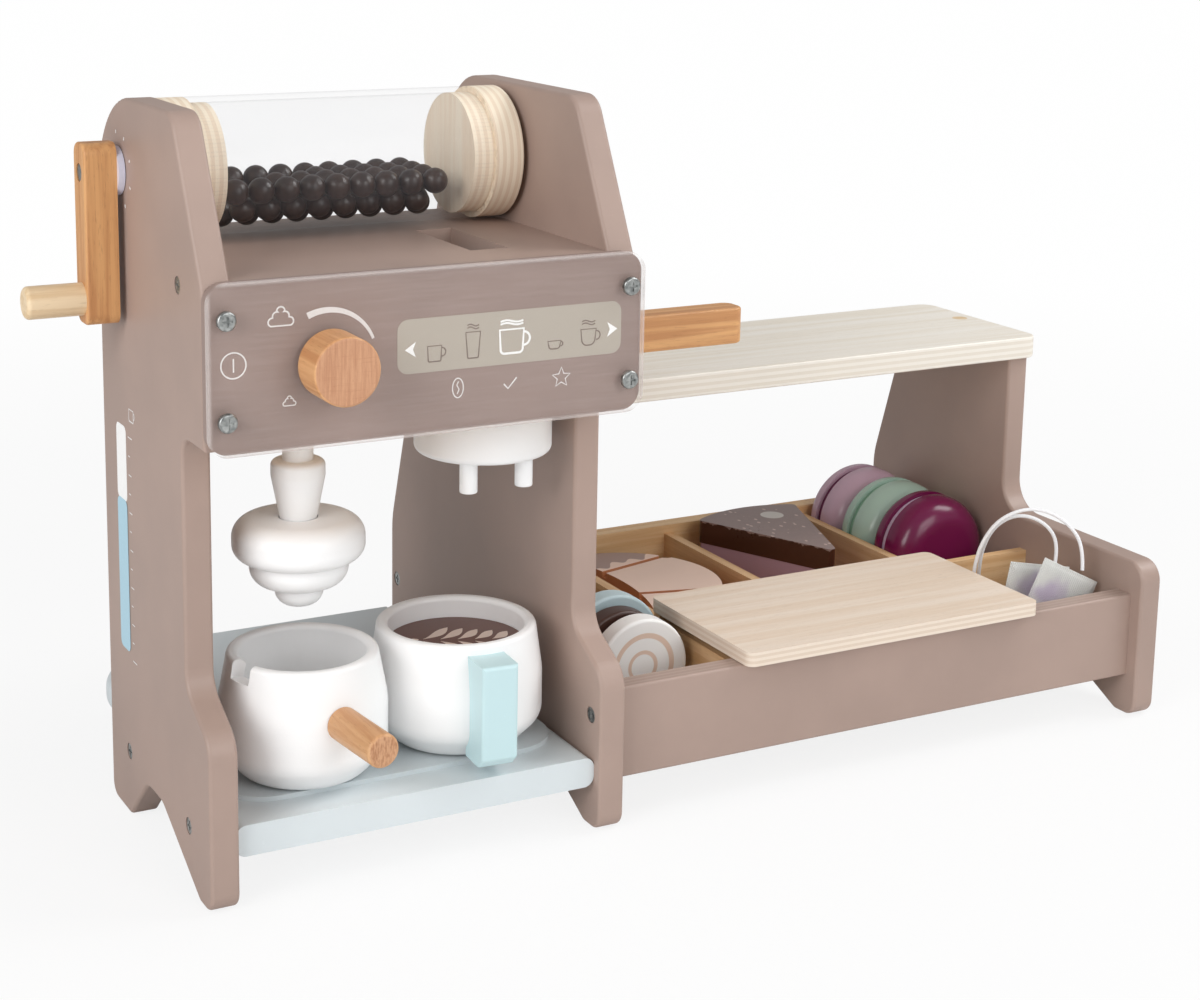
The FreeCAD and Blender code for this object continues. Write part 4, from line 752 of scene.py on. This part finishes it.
def petal(x, y, long, wide, lean):
    """A curved drop of milk, pointed at its root and bent to one side."""
    outline, turn = [], math.radians(lean)
    for flank in (1, -1):
        for k in range(11):
            share = k / 10 if flank == 1 else 1 - k / 10
            bend = 0.28 * long * share * share
            fat = wide / 2 * math.sin(math.pi * share ** 1.4) * flank
            outline.append((long * share, fat + bend))
    return [
        (x + a * math.cos(turn) - b * math.sin(turn), y + a * math.sin(turn) + b * math.cos(turn))
        for a, b in outline[:-1]
    ]


PAIRS, STEM_START, STEM_STEP = 5, -14, 7.4
petals = [petal(-23.5, -2.2, 8, 5, 8)]
for i in range(PAIRS):
    drop = petal(STEM_START + i * STEM_STEP, 1.3, 17.5 - 1.6 * i, 5.2, 38)
    petals += [drop, [(a, -b) for a, b in drop]]
print_on("milk_leaf", COFFEE, [], petals, ink("milk_ink", tone(228, 208, 196)), "coffee_cup")

# Play food: a sawn croissant, a slice of cake, three macarons and three biscuits, all painted wood.
# The croissant is dipped at one end; the cake's icing, sprinkles and the biscuits' rings are printed.

DIP_X, DIP_Y = 258, 168
croissant = paint("croissant_paint", tone(246, 218, 202), 0.5, 0.03)
top_z = node_mm("croissant", False).z
oven = croissant.noise(croissant.spot(), 0.08, 3)
crust = croissant.blend(oven, tone(190, 124, 86), tone(214, 150, 108))
is_top = croissant.facing("Z").smooth(0.6, 0.9) * (croissant.z - (top_z - 0.8)).above(0)
baked = croissant.blend(is_top, crust, croissant.colour())
ripples = (croissant.x * 0.55).wave() * 2.2 + (croissant.x * 0.23).wave() * 1.6
dipped = (croissant.y - (croissant.x - DIP_X) * 0.25 - ripples - DIP_Y).smooth(0, 0.6)
glaze = croissant.blend(is_top, tone(84, 62, 54), tone(176, 150, 142))
croissant.set("Base Color", croissant.blend(dipped, baked, glaze))
dress(croissant, "croissant")

dress(paint("cake_cream_paint", tone(178, 142, 158), 0.5, 0.03), "cake_cream")
cake = paint("cake_paint", tone(68, 34, 22), 0.3, 0.08)
cake_top = node_mm("cake_chocolate", False).z
drip = cake.noise(cake.spot(1, 1, 0), 0.35, 2)
on_top = cake.facing("Z").smooth(0.6, 0.9)
iced = on_top.most((cake.z - (cake_top - 0.7) + (drip - 0.5) * 5).smooth(0, 0.3))
icing = cake.blend(cake.noise(cake.spot(), 0.3, 3), tone(136, 114, 110), tone(150, 126, 120))
over_cake = {"Vector": cake.spot(1, 0.6, 0), "Scale": 0.22, "Randomness": 1.0}
crumbs = cake.node("ShaderNodeTexVoronoi", "Distance", over_cake)
icing = cake.blend((0.2 - crumbs).smooth(0, 0.04) * 0.85, icing, tone(214, 190, 182))
DROP_X, DROP_Y, DROP_RADIUS = 376, 178.6, 6.4
off_x, off_y = cake.x - DROP_X, cake.y - DROP_Y
from_drop = (off_x * off_x + off_y * off_y).root()
icing = cake.blend((DROP_RADIUS - from_drop).smooth(0, 0.4), icing, tone(210, 204, 198))
cake.set("Base Color", cake.blend(iced, cake.colour(), icing))
dress(cake, "cake_chocolate")

for word, shell, filling in (
    ("plum", tone(112, 22, 70), tone(214, 190, 214)),
    ("mint", tone(178, 204, 190), tone(140, 180, 158)),
    ("mauve", tone(206, 174, 192), tone(120, 54, 92)),
):
    dress(paint(word + "_shell_paint", shell, 0.22, 0.03), "macaron_%s_shells" % word)
    dress(paint(word + "_filling_paint", filling, 0.4, 0.03), "macaron_%s_cream" % word)

swirl = paint("swirl_biscuit_paint", tone(252, 251, 249), 0.45, 0.005)
SWIRL_X, SWIRL_Z = 221.3, 49.2
off_x, off_z = swirl.x - SWIRL_X, swirl.z - SWIRL_Z
from_middle = (off_x * off_x + off_z * off_z).root() - off_x * 0.07
inner_ring = (from_middle - 5.6).smooth(0, 0.4) * (7.8 - from_middle).smooth(0, 0.4)
outer_ring = (from_middle - 13).smooth(0, 0.4) * (15.8 - from_middle).smooth(0, 0.4)
rings = inner_ring.most(outer_ring) * (-swirl.facing("Y")).smooth(0.6, 0.9)
swirl.set("Base Color", swirl.blend(rings, swirl.colour(), tone(234, 208, 190)))
dress(swirl, "biscuit_light")
dress(paint("dark_biscuit_paint", tone(70, 44, 36), 0.4, 0.05), "biscuit_dark")
ringed = paint("ringed_biscuit_paint", tone(188, 208, 214), 0.45, 0.02)
over_biscuit = {"Vector": ringed.spot(1, 0, 1), "Scale": 0.1, "Randomness": 0.6}
sugar = ringed.node("ShaderNodeTexVoronoi", "Distance", over_biscuit)
sugar_ring = (sugar - 0.15).smooth(0, 0.03) * (0.24 - sugar).smooth(0, 0.03)
ringed.set("Base Color", ringed.blend(sugar_ring, ringed.colour(), tone(244, 246, 246)))
dress(ringed, "biscuit_blue")

# Tea bags: two pillows of white gauze with a purple patch, each sewn along its rim.
# The two layers are blown up a little as cloth, and their fullness is then held within a limit.

gauze = Finish("tea_gauze", tone(214, 214, 210), 0.85)
warp = (gauze.x * 5.2 + gauze.z * 2.4).wave()
weft = (gauze.z * 5.2 - gauze.x * 2.4).wave()
threads = warp * 0.5 + weft * 0.5
soft = gauze.noise(gauze.spot(), 0.12, 3)
cloth = gauze.blend(soft, tone(200, 201, 198), tone(226, 226, 222))
cloth = gauze.blend(threads.smooth(-0.6, 0.9) * 0.25, cloth, tone(176, 176, 172))
PATCH_X, PATCH_Z, PATCH_REACH = 435, 60, 13
off_x, off_z = gauze.x - PATCH_X, gauze.z - PATCH_Z
from_patch = (off_x * off_x * 0.35 + off_z * off_z).root() + soft * 8
cloth = gauze.blend((PATCH_REACH - from_patch).smooth(0, 7) * 0.5, cloth, tone(170, 140, 190))
gauze.set("Base Color", cloth)
gauze.bump(threads + soft * 1.5, 0.12 * MM, 0.8)

BAG_WIDE, BAG_TALL, BAG_HALF_THICK = 39.0, 41.0, 4.1
BAG_COLUMNS, BAG_ROWS, BAG_RIM = 44, 46, 3
CLOTH_SCALE, CLOTH_STEPS = 10, 20


def tea_bag(node, name, tip):
    """A pillow sewn along its rim: two layers blown up a little as cloth, then turned by its tip."""
    size = MM * CLOTH_SCALE
    points, faces, inside, key = [], [], [], {}
    for layer in (-1, 1):
        for row in range(BAG_ROWS + 1):
            for column in range(BAG_COLUMNS + 1):
                depth = min(row, BAG_ROWS - row, column, BAG_COLUMNS - column)
                if depth == 0 and layer == 1:
                    key[(layer, row, column)] = key[(-1, row, column)]
                    continue
                key[(layer, row, column)] = len(points)
                if depth > BAG_RIM:
                    inside.append(len(points))
                across = (column / BAG_COLUMNS - 0.5) * BAG_WIDE
                along = (row / BAG_ROWS - 0.5) * BAG_TALL
                out = 0 if depth == 0 else 0.25 * layer if depth < BAG_RIM else 0.8 * layer
                points.append((across * size, out * size, along * size))
    for layer in (-1, 1):
        for row in range(BAG_ROWS):
            for column in range(BAG_COLUMNS):
                ring = [(row, column), (row, column + 1), (row + 1, column + 1), (row + 1, column)]
                corners = [key[(layer, a, b)] for a, b in ring]
                faces.append(corners if layer == -1 else corners[::-1])
    bag = make_mesh(name, points, faces)
    filled = bag.vertex_groups.new(name="filled")
    filled.add(inside, 1, "REPLACE")
    gauze_cloth = bag.modifiers.new("cloth", "CLOTH").settings
    gauze_cloth.quality = 6
    gauze_cloth.mass = 0.2
    gauze_cloth.tension_stiffness = 20
    gauze_cloth.compression_stiffness = 20
    gauze_cloth.bending_stiffness = 0.1
    gauze_cloth.use_pressure = True
    gauze_cloth.uniform_pressure_force = 0.55
    gauze_cloth.vertex_group_pressure = "filled"
    gauze_cloth.effector_weights.gravity = 0
    for moment in range(1, CLOTH_STEPS + 1):
        bpy.context.scene.frame_set(moment)
    bag = to_plain(bag, name)
    bpy.context.scene.frame_set(1)
    limit = BAG_HALF_THICK * size
    for vertex in bag.data.vertices:
        vertex.co.y = limit * math.tanh(vertex.co.y / limit)
    low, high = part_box(node)
    turn = Matrix.Rotation(math.radians(tip), 4, "Y")
    bag.data.transform(Matrix.Translation((low + high) / 2) @ turn @ Matrix.Scale(1 / CLOTH_SCALE, 4))
    smoother = bag.modifiers.new("smoother", "SUBSURF")
    smoother.levels = smoother.render_levels = 1
    bag = to_plain(bag, name)
    bag.data.materials.clear()
    bag.data.materials.append(gauze.material)
    bag.data.shade_smooth()
    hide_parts(node)
    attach(bag, "machine")


tea_bag("tea_bag_front", "front_tea_bag", 27)
tea_bag("tea_bag_back", "back_tea_bag", 12)

# Strings: white twisted cotton, sewn to each bag's top edge, looped up and back down into the box.
# Their routes are given, the same as the CAD's.

string_white = Finish("cotton_string", tone(244, 244, 246), 0.8)
lay = string_white.noise(string_white.spot(1, 1, 1), 1.1, 3)
string_white.set("Base Color", string_white.blend(lay, tone(228, 228, 232), tone(252, 252, 252)))
string_white.bump(lay, 0.15 * MM, 0.8)
STRING_WIDE = 1.8

front_route = [
    (455.5, 27, 68.5), (457, 29, 79), (453, 33, 89), (444, 39, 96.5), (433, 45, 98),
    (422, 51, 92), (416.5, 56, 80), (415, 59, 66), (416, 61, 50), (418, 63, 38), (419, 64, 26.25),
]
back_route = [
    (449.6, 40, 69.4), (451.5, 41, 77.5), (448, 43, 86.5), (439.5, 47, 92.5), (430, 51, 93),
    (422, 55, 86.5), (419.5, 59, 75), (420.5, 62, 62), (423.5, 65, 48), (425, 66.5, 37), (426, 67, 26.25),
]


def string(name, node, route):
    """A cotton string as one smooth line along its route."""
    curve = bpy.data.curves.new(name, "CURVE")
    curve.dimensions = "3D"
    curve.bevel_depth = STRING_WIDE / 2 * MM
    curve.bevel_resolution = 4
    curve.resolution_u = 12
    curve.use_fill_caps = True
    line = curve.splines.new("NURBS")
    line.points.add(len(route) - 1)
    for point, place in zip(line.points, route):
        point.co = at(*place).to_4d()
    line.order_u = 3
    line.use_endpoint_u = True
    made = bpy.data.objects.new(name, curve)
    bpy.context.scene.collection.objects.link(made)
    curve.materials.append(string_white.material)
    tuple(at(*route[0]))
    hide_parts(node)
    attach(made, "machine")


string("front_string", "tea_string_front", front_route)
string("back_string", "tea_string_back", back_route)

# Floor: a pale matt sheet that carries the toy's shadow.
# It glows to the camera, more so farther out, so that it joins the white background.

FLOOR_REACH = 14
GLOW_NEAR, GLOW_FAR = 0.84, 0.995
FLOOR_DROP = 0.4 * MM
corners = [(x * FLOOR_REACH, y * FLOOR_REACH, -FLOOR_DROP) for x, y in ((-1, -1), (1, -1), (1, 1), (-1, 1))]
floor = make_mesh("floor", corners, [(0, 1, 2, 3)])
ground = Finish("pale_floor", (0.86, 0.86, 0.86, 1), 0.9)
place = ground.node("ShaderNodeTexCoord", "Object")
away = ground.node("ShaderNodeVectorMath", "Value", {0: place}, operation="LENGTH").smooth(0.3, 1.3)
seen = ground.node("ShaderNodeLightPath", "Is Camera Ray")
share = seen * (away * (GLOW_FAR - GLOW_NEAR) + GLOW_NEAR)
matt = Field(ground, ground.shader.outputs[0])
glow = ground.node("ShaderNodeEmission", 0, {"Color": (1, 1, 1, 1)})
mixed = ground.node("ShaderNodeMixShader", 0, {0: share, 1: matt, 2: glow})
ground.feed(ground.tree.nodes["Material Output"].inputs[0], mixed)
floor.data.materials.append(ground.material)

# Room: white to the camera and through the clear parts, and a softer light on the toy itself.
# Three square lamps add to it: the key from the left, one in front and one above.

world = bpy.data.worlds.new("studio")
bpy.context.scene.world = world
world.use_nodes = True
sky = world.node_tree
ROOM_LIGHT, BACKGROUND = 0.4, 1.0
room = sky.nodes["Background"]
white = sky.nodes.new("ShaderNodeBackground")
for light, strength in ((room, ROOM_LIGHT), (white, BACKGROUND)):
    light.inputs["Color"].default_value = (1, 1, 1, 1)
    light.inputs["Strength"].default_value = strength
rays = sky.nodes.new("ShaderNodeLightPath")
either = sky.nodes.new("ShaderNodeMath")
either.operation = "MAXIMUM"
sky.links.new(rays.outputs["Is Camera Ray"], either.inputs[0])
sky.links.new(rays.outputs["Is Transmission Ray"], either.inputs[1])
choose = sky.nodes.new("ShaderNodeMixShader")
sky.links.new(either.outputs[0], choose.inputs[0])
sky.links.new(room.outputs[0], choose.inputs[1])
sky.links.new(white.outputs[0], choose.inputs[2])
sky.links.new(choose.outputs[0], sky.nodes["World Output"].inputs[0])

centre = (cad_low + cad_high) / 2


def lamp(name, place, size, power):
    """A soft square lamp that looks at the toy."""
    light = bpy.data.lights.new(name, "AREA")
    light.size = size
    light.energy = power
    made = bpy.data.objects.new(name, light)
    bpy.context.scene.collection.objects.link(made)
    made.location = place
    made.rotation_mode = "QUATERNION"
    made.rotation_quaternion = (centre - place).to_track_quat("-Z", "Y")


lamp("key_lamp", Vector((-1.42, -0.68, 0.8)), 0.9, 13.5)
lamp("fill_lamp", Vector((0.3, -1.7, 0.9)), 1.0, 9)
lamp("top_lamp", Vector((1.1, -0.35, 1.25)), 0.8, 12)

# Camera: it stands where the photograph was taken from, worked out from the toy's straight edges.
# Its small shift puts the toy at the photograph's place in the frame.

IMAGE_WIDE, IMAGE_TALL = 1200, 1000
FOCUS_PX = 2179.3
AIM_PX = (520, 300)
YAW, PITCH, ROLL = -0.4762, 0.1949, 0.0113
EYE = (-255.3, -750.3, 400.3)
back = Vector((math.sin(YAW) * math.cos(PITCH), -math.cos(YAW) * math.cos(PITCH), math.sin(PITCH)))
right = (-back).cross(Vector((0, 0, 1))).normalized()
above = right.cross(-back)
tilted_right = right * math.cos(ROLL) + above * math.sin(ROLL)
tilted_up = above * math.cos(ROLL) - right * math.sin(ROLL)
lens = bpy.data.cameras.new("camera")
lens.sensor_width = 36
lens.lens = FOCUS_PX / IMAGE_WIDE * lens.sensor_width
lens.shift_x = (IMAGE_WIDE / 2 - AIM_PX[0]) / IMAGE_WIDE
lens.shift_y = (AIM_PX[1] - IMAGE_TALL / 2) / IMAGE_WIDE
lens.clip_start, lens.clip_end = 0.01, 20
camera = bpy.data.objects.new("camera", lens)
bpy.context.scene.collection.objects.link(camera)
facing = Matrix((tilted_right, tilted_up, back)).transposed().to_4x4()
camera.matrix_world = Matrix.Translation(at(*EYE)) @ facing
bpy.context.scene.camera = camera

bpy.context.scene.view_settings.view_transform = "Standard"
